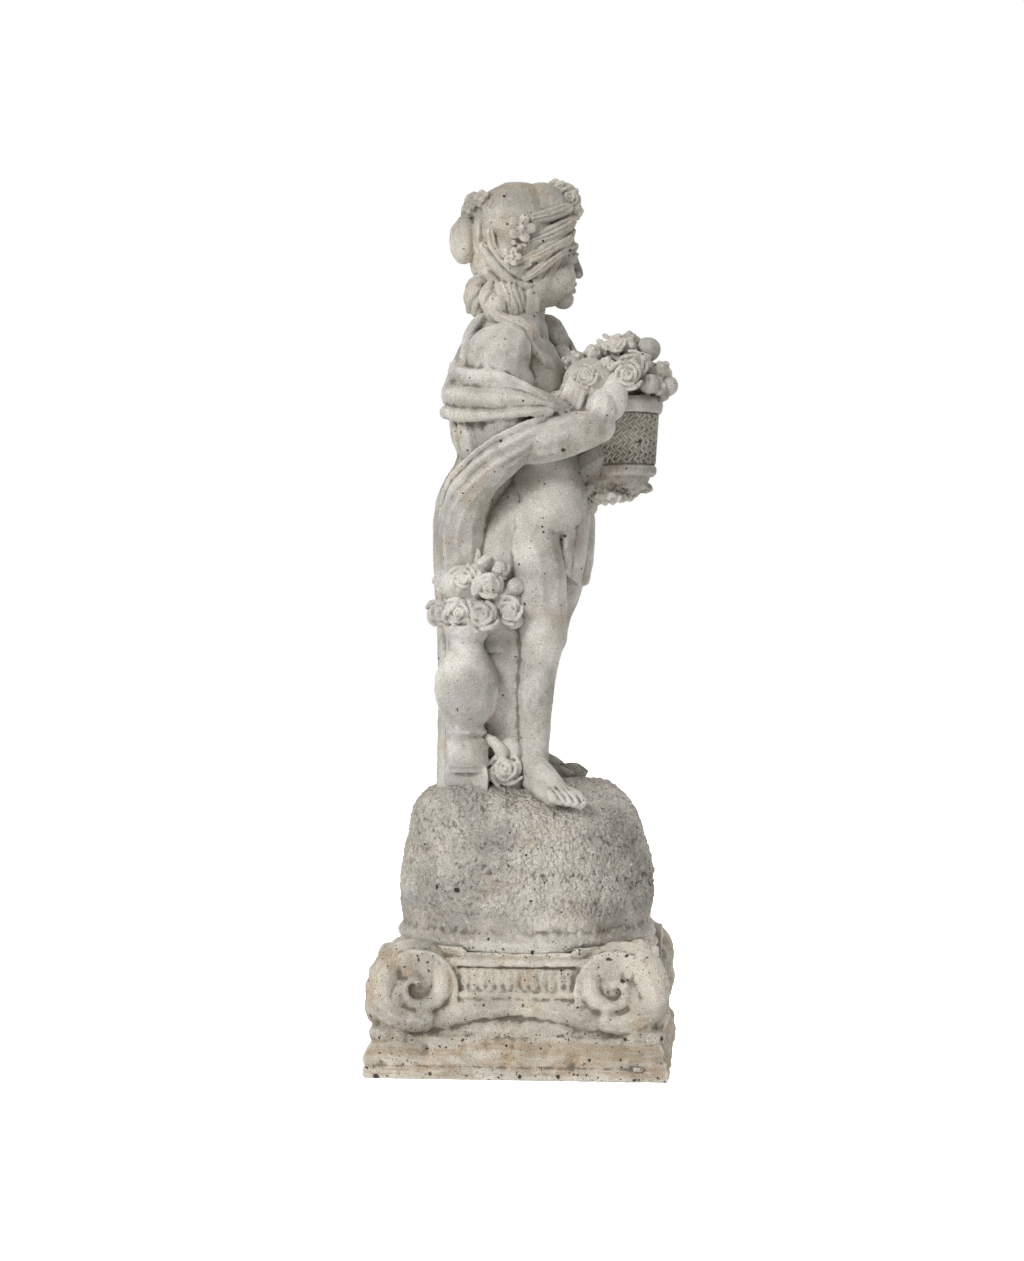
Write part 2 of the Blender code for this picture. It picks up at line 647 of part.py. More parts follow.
def model_capital_face(clay, face):
    """One face of the capital, modelled on the -Y side: two scrolls and the cushion between them."""
    eye_z = SLAB_HEIGHT + VOLUTE_RADIUS - 0.006
    across = CAPITAL_WIDTH / 2 - VOLUTE_INSET
    low, high = across + 0.022, face - 0.002
    clay.box((low, -high, SLAB_HEIGHT - 0.006), (high, -low, eye_z))
    for s in (-1, 1):
        clay.drum((s * across, -face + 0.008 + 0.022, eye_z), VOLUTE_RADIUS * 0.93, 0.044)
        scroll = []
        for k in range(37):
            t = k / 36
            a = -math.pi / 2 + 3.7 * math.pi * t
            r = VOLUTE_RADIUS * (0.80 - 0.70 * t)
            wide = 0.0095 - 0.0065 * t
            scroll.append((s * (across + r * math.cos(a)), -face + wide, eye_z + r * math.sin(a), wide))
        clay.roll(*scroll, steps=1)
        clay.ball((s * across, -face + 0.006, eye_z), (0.0055, 0.004, 0.0055))
        clay.ball((s * 0.133, -0.133, SLAB_HEIGHT + 0.001), (0.011, 0.011, 0.008))
    band = [(0, 0.068, 0.011), (0.030, 0.066, 0.013), (0.055, 0.062, 0.0165), (0.080, 0.058, 0.0175)]
    strip = [(-x, -face + 0.018 + r - x * 0.12, z, r) for x, z, r in band[:0:-1]]
    strip += [(x, -face + 0.018 + r - x * 0.12, z, r) for x, z, r in band]
    clay.roll(*strip)
    clay.ball((0, -face + 0.030, 0.048), (0.064, 0.013, 0.010))
    flutes = 14
    for n in range(flutes):
        x = 0.120 * ((n + 0.5) / flutes - 0.5)
        clay.roll((x, -face + 0.031, 0.078, 0.0036), (x, -face + 0.031, 0.110, 0.0036), steps=1)


def make_capital(material):
    clay = Clay(Matrix.Identity(4))
    model_capital(clay)
    skin = skinned(clay.joined(), SKIN_VOXEL, 2)
    skin = thinned(skin, CAPITAL_TRIANGLES)
    cut_level(skin, 0.0, keep_above=True)
    capital = bpy.data.objects.new("capital", skin)
    skin.materials.clear()
    skin.materials.append(material)
    seat = Clay(Matrix.Translation((0, 0, SEAT_HEIGHT)))
    seat.stack([(0, 0, 0, SEAT_RADIUS, SEAT_RADIUS), (0.05, 0, 0, SEAT_RADIUS, SEAT_RADIUS)], steps=1, sides=96)
    cutter = bpy.data.objects.new("seat cutter", seat.joined())
    cutter.hide_render = True
    cutter.display_type = "WIRE"
    level = capital.modifiers.new("Level seat", "BOOLEAN")
    level.operation = "DIFFERENCE"
    level.solver = "EXACT"
    level.object = cutter
    return capital, cutter


def main():
    clear_scene()
    parts = bpy.data.collections.new("Girl with a basket")
    bpy.context.scene.collection.children.link(parts)
    cutters = bpy.data.collections.new("Cutters")
    bpy.context.scene.collection.children.link(cutters)
    cutters.hide_render = True
    capital, cutter = make_capital(stone_material("pale cast stone", PALE_STONE))
    parts.objects.link(capital)
    cutters.objects.link(cutter)
    parts.objects.link(make_statue(stone_material("cast stone", STONE)))


main()
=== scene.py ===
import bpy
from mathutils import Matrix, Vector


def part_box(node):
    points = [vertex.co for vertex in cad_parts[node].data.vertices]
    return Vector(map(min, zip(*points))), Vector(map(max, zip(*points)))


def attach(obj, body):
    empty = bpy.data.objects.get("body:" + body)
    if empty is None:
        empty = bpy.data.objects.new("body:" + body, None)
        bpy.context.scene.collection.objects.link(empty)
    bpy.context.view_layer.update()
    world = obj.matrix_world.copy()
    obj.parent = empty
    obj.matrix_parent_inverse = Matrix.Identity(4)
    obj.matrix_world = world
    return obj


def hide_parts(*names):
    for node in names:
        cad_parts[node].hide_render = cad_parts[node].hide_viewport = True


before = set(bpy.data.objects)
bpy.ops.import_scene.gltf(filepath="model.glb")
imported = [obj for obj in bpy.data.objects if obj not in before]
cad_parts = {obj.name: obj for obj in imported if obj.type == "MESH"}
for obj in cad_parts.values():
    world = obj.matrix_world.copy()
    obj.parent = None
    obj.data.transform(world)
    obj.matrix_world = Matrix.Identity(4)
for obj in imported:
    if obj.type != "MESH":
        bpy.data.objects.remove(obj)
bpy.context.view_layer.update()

# %% [markdown]
# # A girl with a basket of fruit, cast in stone
#
# A garden statue is cast in a mould, from sand, cement and crushed stone. Its forms are soft at the edges,
# its skin is pitted by air, and dirt, moss and rust stains gather in its hollows. There are two castings:
# the statue with the rock she stands on, and the upturned Ionic capital under it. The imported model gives
# their place and size, so this lesson starts by measuring it.

# %% Measures
import copy
import math

import bmesh
import bpy
import numpy as np
from mathutils import Euler, Matrix, Vector, noise

statue_low, statue_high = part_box("statue")
capital_low, capital_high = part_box("capital")

SEAT = statue_low[2]
MOUND_HEIGHT = 0.163
MOUND_RADIUS = 0.129
FIGURE_HEIGHT = 0.617
SLAB_HEIGHT = 0.040
VOLUTE_RADIUS = 0.049
HALF = 0.149
ROCK_TOP = SEAT + MOUND_HEIGHT
MM = FIGURE_HEIGHT / 617
FIGURE = Matrix.Translation((0, 0, ROCK_TOP)) @ Matrix.Scale(MM, 4)
GOLDEN = 0.618
GOLDEN_TURN = 0.381966
GOLDEN_ANGLE = 2.399963
print("the capital is", round(capital_high[2] - capital_low[2], 4), "m high")
print("the statue is", round(statue_high[2] - SEAT, 4), "m high and her feet stand at", round(ROCK_TOP, 4))

# %% [markdown]
# ## The camera
#
# The photograph looks level at her right side from about two and a half metres, so the camera is set first.
# Every form can then be judged from where the photographer stood.

# %% Camera
camera_data = bpy.data.cameras.new("camera")
camera_data.sensor_fit = "VERTICAL"
camera_data.sensor_height = 36
camera_data.lens = 69.37
camera = bpy.data.objects.new("camera", camera_data)
bpy.context.scene.collection.objects.link(camera)
camera.location = (-2.4918, -0.2025, 0.436)
camera.rotation_euler = Vector((0.99619, 0.08716, 0)).to_track_quat("-Z", "Y").to_euler()
bpy.context.scene.camera = camera
print("camera at", [round(v, 3) for v in camera.location])

# %% [markdown]
# ## Clay
#
# Carved forms flow into one another, which makes them awkward to build face by face. A modeller in clay
# presses lumps together and smooths the joins, and a voxel remesh does the same: it finds the one skin
# round any number of overlapping lumps. So the tools here only have to add simple lumps: balls, tapering
# rolls and stacks of ovals.

# %% A curve that passes through its points
def smooth_through(points, steps):
    ends = [points[0], *points, points[-1]]
    found = []
    for a, b, c, d in zip(ends, ends[1:], ends[2:], ends[3:]):
        for i in range(steps):
            t = i / steps
            weights = (
                (-t + 2 * t * t - t**3) / 2,
                (2 - 5 * t * t + 3 * t**3) / 2,
                (t + 4 * t * t - 3 * t**3) / 2,
                (-t * t + t**3) / 2,
            )
            found.append(tuple(sum(w * p[k] for w, p in zip(weights, (a, b, c, d))) for k in range(len(a))))
    return found + [tuple(points[-1])]


def turned(degrees):
    return Euler([math.radians(a) for a in degrees]).to_matrix().to_4x4()


print(
    "a curve through 3 points with 4 steps has", len(smooth_through([(0, 0), (1, 2), (2, 0)], 4)),
    "points",
)


# %% Small solids to copy
def unit_solid(operator, **sizes):
    work = bmesh.new()
    operator(work, **sizes)
    points = [v.co.copy() for v in work.verts]
    faces = [[v.index for v in f.verts] for f in work.faces]
    work.free()
    return points, faces


BALL = unit_solid(bmesh.ops.create_uvsphere, u_segments=18, v_segments=10, radius=1)
CUBE = unit_solid(bmesh.ops.create_cube, size=1)
DRUM = unit_solid(bmesh.ops.create_cone, cap_ends=True, segments=64, radius1=1, radius2=1, depth=1)
print("the ball has", len(BALL[1]), "faces")


# %% The clay itself
class Clay:
    """Lumps pressed together, in units of `place`, and lines to score into the finished skin."""

    def __init__(self, place):
        self.place = place
        self.points = []
        self.faces = []
        self.scores = []
        self.rolls = bpy.data.curves.new("rolls", "CURVE")
        self.rolls.dimensions = "3D"
        self.rolls.bevel_depth = 1.0
        self.rolls.bevel_resolution = 3
        self.rolls.use_fill_caps = True

    def at(self, where):
        """The same clay, worked at another place."""
        other = copy.copy(self)
        other.place = self.place @ where
        return other

    def press(self, solid, shape):
        first = len(self.points)
        placed = self.place @ shape
        self.points += [placed @ point for point in solid[0]]
        self.faces += [[first + i for i in face] for face in solid[1]]

    def ball(self, at, radii, turn=(0, 0, 0)):
        self.press(BALL, Matrix.Translation(at) @ turned(turn) @ Matrix.Diagonal((*radii, 1)))

    def box(self, low, high):
        size = Vector(high) - Vector(low)
        self.press(CUBE, Matrix.Translation((Vector(low) + Vector(high)) / 2) @ Matrix.Diagonal((*size, 1)))

    def drum(self, at, radius, depth):
        upright = Matrix.Rotation(math.pi / 2, 4, "X") @ Matrix.Diagonal((radius, radius, depth, 1))
        self.press(DRUM, Matrix.Translation(at) @ upright)

    def roll(self, *points, steps=6):
        scale = self.place.to_scale().x
        path = smooth_through(points, steps)
        spline = self.rolls.splines.new("POLY")
        spline.points.add(len(path) - 1)
        for point, (x, y, z, r) in zip(spline.points, path):
            point.co = (*(self.place @ Vector((x, y, z))), 1)
            point.radius = r * scale
        for x, y, z, r in (points[0], points[-1]):
            self.ball((x, y, z), (r, r, r))

    def pair(self, *points, steps=6):
        self.roll(*points, steps=steps)
        self.roll(*[(-x, y, z, r) for x, y, z, r in points], steps=steps)

    def lock(self, *points, strands=5, side=(0, 0, 1), twist=0.0):
        """Combed strands laid round a path, as a lock of hair or a gathered fold."""
        path = smooth_through(points, 5)
        lines = [[] for _ in range(strands)]
        for i, (x, y, z, r) in enumerate(path):
            ahead = Vector(path[min(i + 1, len(path) - 1)][:3]) - Vector(path[max(i - 1, 0)][:3])
            first = ahead.cross(Vector(side)).normalized()
            second = ahead.cross(first).normalized()
            for k, line in enumerate(lines):
                a = 2 * math.pi * k / strands + twist * i
                off = first * (math.cos(a) * 0.58 * r) + second * (math.sin(a) * 0.58 * r)
                line.append((x + off.x, y + off.y, z + off.z, 0.46 * r))
        for line in lines:
            self.roll(*line, steps=1)

    def stack(self, sections, steps=4, sides=48, ripple=None, square=False):
        levels = smooth_through(sections, steps)
        points = []
        for z, cx, cy, rx, ry in levels:
            for i in range(sides):
                a = 2 * math.pi * i / sides
                swell = 1 + (ripple(a, z) if ripple else 0)
                if square:
                    swell /= max(abs(math.cos(a)), abs(math.sin(a)))
                points.append(Vector((cx + swell * rx * math.cos(a), cy + swell * ry * math.sin(a), z)))
        faces = [list(range(sides))[::-1], list(range(len(points) - sides, len(points)))]
        for row in range(0, len(points) - sides, sides):
            for i in range(sides):
                j = (i + 1) % sides
                faces.append([row + i, row + j, row + sides + j, row + sides + i])
        self.press((points, faces), Matrix.Identity(4))

    def sheet(self, edges, thickness, folds, steps=6, across=8):
        """Cloth laid between paths that run side by side, with folds that swell out of it."""
        paths = [smooth_through(edge, steps) for edge in edges]
        rows = [[Vector(p) for p in smooth_through(list(points), across)] for points in zip(*paths)]
        long, wide = len(rows), len(rows[0])
        front, back = [], []
        for i, row in enumerate(rows):
            for j, p in enumerate(row):
                along = rows[min(i + 1, long - 1)][j] - rows[max(i - 1, 0)][j]
                out = along.cross(row[min(j + 1, wide - 1)] - row[max(j - 1, 0)]).normalized()
                if out.x * p.x + out.y * (p.y - 10) < 0:
                    out.negate()
                front.append(p + out * folds(i / (long - 1), j / (wide - 1)))
                back.append(p - out * thickness)
        faces = []
        for i in range(long - 1):
            for j in range(wide - 1):
                a = i * wide + j
                faces.append([a, a + 1, a + wide + 1, a + wide])
                faces.append([n + long * wide for n in (a, a + wide, a + wide + 1, a + 1)])
        rim = list(range(wide)) + [i * wide + wide - 1 for i in range(1, long)]
        rim += [(long - 1) * wide + j for j in range(wide - 2, -1, -1)]
        rim += [i * wide for i in range(long - 2, 0, -1)]
        for a, b in zip(rim, rim[1:] + rim[:1]):
            faces.append([b, a, a + long * wide, b + long * wide])
        self.press((front + back, faces), Matrix.Identity(4))

    def score(self, *points, width, depth, steps=5):
        """A line to press into the skin afterwards. A negative depth raises it."""
        scale = self.place.to_scale().x
        path = [self.place @ Vector(p) for p in smooth_through(points, steps)]
        self.scores.append((np.array(path), width * scale, depth * scale))

    def add_mesh(self, mesh):
        first = len(self.points)
        self.points += [v.co.copy() for v in mesh.vertices]
        self.faces += [[first + i for i in p.vertices] for p in mesh.polygons]

    def joined(self):
        holder = bpy.data.objects.new("rolls", self.rolls)
        bpy.context.scene.collection.objects.link(holder)
        graph = bpy.context.evaluated_depsgraph_get()
        if self.rolls.splines:
            self.add_mesh(bpy.data.meshes.new_from_object(holder.evaluated_get(graph)))
        bpy.data.objects.remove(holder)
        mesh = bpy.data.meshes.new("clay")
        mesh.from_pydata(self.points, [], self.faces)
        return mesh


# %% [markdown]
# The remesh gives an even grid of small squares. Scored lines and roughness are pressed in while the grid
# is even, and only then is the mesh thinned: a collapse keeps small triangles where the surface curves, so
# the plain parts of her back give up their triangles to her curls.

# %% Skinning, scoring and thinning
def with_modifiers(mesh, settings):
    obj = bpy.data.objects.new("work", mesh)
    bpy.context.scene.collection.objects.link(obj)
    for kind, values in settings:
        modifier = obj.modifiers.new(kind, kind)
        for key, value in values.items():
            setattr(modifier, key, value)
    graph = bpy.context.evaluated_depsgraph_get()
    found = bpy.data.meshes.new_from_object(obj.evaluated_get(graph))
    bpy.data.objects.remove(obj)
    return found


def skinned(mesh, voxel, smoothing):
    return with_modifiers(
        mesh,
        [
            ("REMESH", {"mode": "VOXEL", "voxel_size": voxel}),
            ("SMOOTH", {"factor": 0.5, "iterations": smoothing}),
        ],
    )


def thinned(mesh, triangles):
    now = sum(len(p.vertices) - 2 for p in mesh.polygons)
    ratio = min(1.0, triangles / now)
    return with_modifiers(mesh, [("DECIMATE", {"ratio": ratio, "use_collapse_triangulate": True})])


def read_points(mesh):
    points = np.empty(len(mesh.vertices) * 3)
    mesh.vertices.foreach_get("co", points)
    normals = np.empty(len(mesh.vertices) * 3, np.float32)
    mesh.vertex_normals.foreach_get("vector", normals)
    return points.reshape(-1, 3), normals.reshape(-1, 3)


def write_points(mesh, points):
    mesh.vertices.foreach_set("co", points.reshape(-1))
    mesh.update()


def press_lines(mesh, scores):
    points, normals = read_points(mesh)
    press = np.zeros(len(points))
    for path, width, depth in scores:
        low, high = path.min(axis=0) - width, path.max(axis=0) + width
        near = np.flatnonzero(((points > low) & (points < high)).all(axis=1))
        reach = np.full(len(near), np.inf)
        for a, b in zip(path, path[1:]):
            ab = b - a
            t = np.clip(((points[near] - a) @ ab) / max(ab @ ab, 1e-18), 0, 1)
            reach = np.minimum(reach, np.linalg.norm(points[near] - (a + t[:, None] * ab), axis=1))
        shape = np.clip(1 - (reach / width) ** 2, 0, None) ** 2 * depth
        press[near] = np.where(np.abs(shape) > np.abs(press[near]), shape, press[near])
    points -= normals * press[:, None]
    write_points(mesh, points)


def roughen(mesh, amount, scale, where=None, octaves=3):
    """Uneven skin: fractal noise along the normals."""
    points, normals = read_points(mesh)
    lumps = np.array([noise.fractal(Vector(p) * scale, 0.9, 2.1, octaves) for p in points])
    if where is not None:
        lumps *= where(points)
    points += normals * (lumps * amount)[:, None]
    write_points(mesh, points)


# %% [markdown]
# Dirt settles, and shade falls, where a brush can't reach. To let a material know where that is, each point
# is compared with where it would be on a much smoother statue: below that surface is a hollow, above it is a
# worn edge. The result is kept on the mesh as an attribute, which goes wherever the piece goes, and the
# materials darken the hollows with dirt and painted shade together.

# %% Measuring hollows
def mark_hollows(mesh, name, rounds, reach):
    points, normals = read_points(mesh)
    ends = np.empty(len(mesh.edges) * 2, np.int64)
    mesh.edges.foreach_get("vertices", ends)
    a, b = ends[0::2], ends[1::2]
    count = np.bincount(np.concatenate([a, b]), minlength=len(points))[:, None]
    smooth = points.copy()
    for _ in range(rounds):
        total = np.empty_like(smooth)
        for axis in range(3):
            total[:, axis] = np.bincount(a, smooth[b, axis], len(points))
            total[:, axis] += np.bincount(b, smooth[a, axis], len(points))
        smooth = 0.3 * smooth + 0.7 * total / np.maximum(count, 1)
    depth = ((smooth - points) * normals).sum(axis=1) / reach
    marks = mesh.attributes.new(name, "FLOAT", "POINT")
    marks.data.foreach_set("value", np.clip(depth, -1, 1).astype(np.float32))


def cast(name, clay, voxel, smoothing, triangles, nodes, finish=None):
    """The finished piece: one skin, scored, roughened by finish(mesh), thinned and fastened to the model."""
    skin = skinned(clay.joined(), voxel, smoothing)
    press_lines(skin, clay.scores)
    if finish:
        finish(skin)
    skin = thinned(skin, triangles)
    skin.shade_smooth()
    # The hollow and cavity depths are what the materials darken, as dirt and rust stains together with
    # painted shade.
    mark_hollows(skin, "hollow", 12, 0.0016)
    mark_hollows(skin, "cavity", 60, 0.0060)
    piece = bpy.data.objects.new(name, skin)
    bpy.context.scene.collection.objects.link(piece)
    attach(piece, "root")
    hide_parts(*nodes)
    print(name, "has", len(skin.polygons), "triangles")
    return piece


# %% [markdown]
# ## Flowers
#
# The mould maker cut the same few flowers many times: an open flower with round petals, and a full rose
# whose petals close on a bud. Each is a function that puts one flower at a place, so that a wreath is a
# list of places.

# %% Flowers
def facing(at, direction, spin=0.0):
    turn = Vector(direction).to_track_quat("Z", "Y").to_matrix().to_4x4()
    return Matrix.Translation(at) @ turn @ Matrix.Rotation(spin, 4, "Z")


def open_flower(clay, where, radius, petals=5):
    clay = clay.at(where)
    clay.ball((0, 0, -0.25 * radius), (0.7 * radius, 0.7 * radius, 0.4 * radius))
    for n in range(petals):
        petal = clay.at(Matrix.Rotation(2 * math.pi * n / petals, 4, "Z"))
        petal.ball((0.62 * radius, 0, 0), (0.42 * radius, 0.37 * radius, 0.20 * radius), (0, -20, 0))
        petal.score(
            (0.28 * radius, 0, 0.1 * radius), (0.95 * radius, 0, 0.16 * radius), width=1.2, depth=0.8,
        )
    clay.ball((0, 0, 0.12 * radius), (0.24 * radius, 0.24 * radius, 0.22 * radius))


ROSE_RINGS = [(0.86, -0.02, 0.15, 4), (0.58, 0.22, 0.12, 3), (0.30, 0.36, 0.10, 2)]


def rose(clay, where, radius, seed=0):
    clay = clay.at(where)
    clay.ball((0, 0, -0.35 * radius), (0.94 * radius, 0.94 * radius, 0.6 * radius))
    for ring, (reach, lift, thick, petals) in enumerate(ROSE_RINGS):
        for n in range(petals):
            start = 360 / petals * n + 37 * ring + 29 * seed
            sweep = 300 / petals / 4
            path = []
            for k in range(5):
                a = math.radians(start + sweep * k)
                out = radius * reach * (1 + 0.07 * k - 0.02 * ring)
                edge = radius * thick * (1.15 - 0.16 * abs(k - 2))
                path.append((
                    out * math.cos(a), out * math.sin(a), radius * (lift - 0.05 * abs(k - 2)), edge,
                ))
            clay.roll(*path, steps=4)
    clay.ball((0, 0, 0.26 * radius), (0.17 * radius, 0.17 * radius, 0.22 * radius))


def leaf(clay, where, length):
    clay = clay.at(where)
    clay.ball((0, 0.5 * length, 0), (0.24 * length, 0.52 * length, 0.09 * length), (14, 0, 0))
    clay.score((0, 0, 0.1 * length), (0, length, 0.2 * length), width=1.3, depth=1.0)


def blossoms(clay, at, radius, bud, count=22, seed=0, core=0.92, reach=0.86):
    """A ball with small buds spread evenly over it."""
    clay.ball(at, (radius * core,) * 3)
    for n in range(count):
        up = 1 - 2 * (n + 0.5) / count
        flat = math.sqrt(1 - up * up)
        a = GOLDEN_ANGLE * (n + seed)
        out = Vector((flat * math.cos(a), flat * math.sin(a), up)) * radius * reach
        size = bud * (0.8 + 0.6 * ((n * GOLDEN + seed * 0.37) % 1))
        clay.ball(Vector(at) + out, (size,) * 3)


def blob(clay, at, radius, seed):
    """A weathered lump, which was once a flower or a fruit."""
    blossoms(clay, at, radius, 0.35 * radius, 12, seed, 0.9, 0.72)


print("a rose has", sum(ring[3] for ring in ROSE_RINGS), "petals round its bud")

# %% [markdown]
# ## The capital
#
# The lower casting is an Ionic capital set upside down: its square slab lies on the ground, and at each
# corner two scrolls meet. Between the scrolls runs a hollow band with shallow flutes, and under it a
# cushion that dips into the scrolls. One face is modelled once and turned four times. A scroll is a
# tapering roll wound on a spiral.

# %% Capital
def slab_and_core(clay):
    profile = [
        (-0.010, 0.1475), (0.000, 0.1475), (0.003, 0.1490), (0.0095, 0.1490), (0.0120, 0.1468),
        (0.0145, 0.1478), (0.0195, 0.1485), (0.0240, 0.1470), (0.0290, 0.1440), (0.0340, 0.1412),
        (SLAB_HEIGHT, 0.1390),
    ]
    clay.stack([(z, 0, 0, w, w) for z, w in profile], sides=96, square=True)
    core = HALF - 0.031
    clay.box((-core, -core, 0), (core, core, 0.119))

    def rounding(a, z):
        return min(1 / max(abs(math.cos(a)), abs(math.sin(a))), 1.10) - 1

    plate = [(0.106, 0.119), (0.1085, 0.1245), (0.112, 0.1275), (0.118, 0.128), (0.126, 0.127)]
    clay.stack([(z, 0, 0, w, w) for z, w in plate], sides=96, ripple=rounding)


SCROLL = [
    (-78, 31, 13), (-110, 33, 14), (-150, 38, 15), (-190, 38, 14.5), (-230, 35, 13.5), (-270, 31, 12.5),
    (-310, 28, 11.5), (-350, 24.5, 10.5), (-390, 21.5, 9), (-430, 19, 7.6), (-470, 16.5, 6.4),
    (-510, 13.5, 5.4), (-550, 10.5, 4.6), (-590, 7.5, 4.2), (-640, 4.0, 4.2),
]


def scroll(clay, across, face, eye_z, side):
    """The band of a scroll: it leaves the cushion, goes round by the corner and winds in to the eye."""
    path = []
    for angle, reach, wide in SCROLL:
        x = across - reach / 1000 * math.cos(math.radians(angle))
        z = eye_z + reach / 1000 * math.sin(math.radians(angle))
        lean = 0.6 * max(0, z - eye_z)
        path.append((side * x, lean - face + 0.003 + 0.00062 * wide, z, wide / 1000))
    clay.roll(*path, steps=5)


def capital_face(clay, face):
    eye_z = SLAB_HEIGHT + VOLUTE_RADIUS - 0.0005
    across = HALF - 0.053
    for side in (-1, 1):
        clay.drum((side * across, -face + 0.029, eye_z - 0.003), VOLUTE_RADIUS * 0.80, 0.040)
        scroll(clay, across, face, eye_z, side)
        corner = [
            (0.1185, 0.032, 0.0255), (0.1190, 0.060, 0.0255), (0.1180, 0.080, 0.0260),
            (0.1090, 0.103, 0.0190),
        ]
        clay.roll(*[(side * w, -w, z, r) for w, z, r in corner])
        clay.ball((side * 0.130, -0.136, SLAB_HEIGHT + 0.002), (0.013, 0.009, 0.008))
    band = [(0, 68, 10.8), (28, 66.5, 12.2), (50, 64, 14.5), (72, 58.5, 15.5), (88, 57.5, 14.5)]
    strip = [(x / 1000, -face + 0.010 + 0.0007 * r, z / 1000, r / 1000) for x, z, r in band]
    clay.roll(*[(-x, y, z, r) for x, y, z, r in strip[:0:-1]], *strip)
    clay.roll((-0.062, -face + 0.0155, 0.0800, 0.0035), (0.062, -face + 0.0155, 0.0800, 0.0035))
    clay.roll((-0.062, -face + 0.0175, 0.1115, 0.0045), (0.062, -face + 0.0175, 0.1115, 0.0045))
    clay.ball((0, -face + 0.020, 0.046), (0.070, 0.015, 0.0125))
    clay.box((-0.085, -face + 0.018, 0.035), (0.085, -face + 0.045, 0.060))
    clay.box((-0.078, -face + 0.0155, 0.070), (0.078, -face + 0.045, 0.116))
    clay.roll((-0.124, -face + 0.017, 0.0415, 0.0070), (0.124, -face + 0.017, 0.0415, 0.0070))
    for n in range(14):
        x = 0.118 * ((n + 0.5) / 14 - 0.5)
        clay.score((x, -face + 0.0155, 0.089), (x, -face + 0.0155, 0.104), width=0.0046, depth=0.0012)
    slot = [(x, -face + 0.015, 0.1068 - 0.0008 * (x == 0)) for x in (-0.056, 0, 0.056)]
    clay.score(*slot, width=0.003, depth=0.003)
    crack = [(-0.006, -face + 0.016, 0.112), (-0.004, -face + 0.020, 0.095), (-0.006, -face + 0.013, 0.078)]
    clay.score(*crack, width=0.002, depth=0.0015)


def level_seat(mesh):
    """Worn skin with broken edges, then the flat bed where the statue stands and the flat underside."""
    roughen(mesh, 0.0018, 26)
    roughen(mesh, 0.0008, 110)
    points, normals = read_points(mesh)
    edge = np.clip((np.abs(points[:, :2]).max(axis=1) - 0.138) / 0.008, 0, 1)
    bites = np.array([max(0.0, noise.noise(Vector(p) * 45) - 0.18) for p in points])
    points -= normals * (bites * edge * 0.006)[:, None]
    bed = (np.hypot(points[:, 0], points[:, 1]) < 0.137) & (points[:, 2] > SEAT - 0.008)
    points[bed, 2] = np.minimum(points[bed, 2], SEAT - 0.0004)
    points[:, :2] = np.clip(points[:, :2], -0.1505, 0.1505)
    points[:, 2] = np.maximum(points[:, 2], 0)
    write_points(mesh, points)


clay = Clay(Matrix.Identity(4))
slab_and_core(clay)
for quarter in range(4):
    clay.place = Matrix.Rotation(quarter * math.pi / 2, 4, "Z")
    capital_face(clay, HALF - 0.003)
capital = cast("upturned_capital", clay, 0.0014, 3, 155000, ["capital"], level_seat)

# %% [markdown]
# ## Node helpers
#
# Patterns that repeat and looks that mix are made with nodes. A node graph is nodes and links, and in a
# script most of it is saying which socket feeds which. These helpers make a group with named inputs, and
# add a node and feed its sockets in one line, so that the graphs below read like sums.

# %% Helpers for node groups
FLOAT, GEOMETRY, MATERIAL = "NodeSocketFloat", "NodeSocketGeometry", "NodeSocketMaterial"


def new_group(name, inputs, outputs, kind="ShaderNodeTree"):
    group = bpy.data.node_groups.new(name, kind)
    for label, sort, value in inputs:
        socket = group.interface.new_socket(label, in_out="INPUT", socket_type=sort)
        if value is not None:
            socket.default_value = value
    for label, sort in outputs:
        group.interface.new_socket(label, in_out="OUTPUT", socket_type=sort)
    return group


class Wiring:
    """Short ways to add and join nodes in one tree."""

    def __init__(self, tree):
        self.tree = tree

    def add(self, kind, **inputs):
        node = self.tree.nodes.new(kind)
        for name, value in inputs.items():
            self.feed(node.inputs[name.replace("_", " ")], value)
        return node

    def feed(self, socket, value):
        if isinstance(value, bpy.types.NodeSocket):
            self.tree.links.new(value, socket)
        else:
            socket.default_value = value

    def combine(self, kind, operation, values):
        node = self.tree.nodes.new(kind)
        node.operation = operation
        for socket, value in zip(node.inputs, values):
            self.feed(socket, value)
        return node

    def math(self, operation, *values):
        return self.combine("ShaderNodeMath", operation, values).outputs[0]

    def vector(self, operation, *values):
        return self.combine("ShaderNodeVectorMath", operation, values).outputs[0]

    def noise(self, vector, scale, detail=3.0, rough=0.5):
        node = self.add("ShaderNodeTexNoise", Vector=vector, Scale=scale, Detail=detail, Roughness=rough)
        return node.outputs["Fac"]

    def span(self, value, low, high, to_low=0.0, to_high=1.0):
        node = self.add("ShaderNodeMapRange")
        node.interpolation_type = "SMOOTHSTEP"
        for socket, item in zip(node.inputs, (value, low, high, to_low, to_high)):
            self.feed(socket, item)
        return node.outputs[0]

    def blend(self, fac, a, b, kind="MIX"):
        node = self.tree.nodes.new("ShaderNodeMix")
        node.data_type = "RGBA"
        node.blend_type = kind
        self.feed(node.inputs[0], fac)
        self.feed(node.inputs[6], a)
        self.feed(node.inputs[7], b)
        return node.outputs[2]

    def finish(self, instances, material):
        """The end of a geometry group: the instances made real, with their material."""
        real = self.add("GeometryNodeRealizeInstances", Geometry=instances)
        painted = self.add("GeometryNodeSetMaterial", Geometry=real.outputs["Geometry"], Material=material)
        self.add("NodeGroupOutput", Geometry=painted.outputs["Geometry"])


print("one helper class wires geometry groups and materials alike")

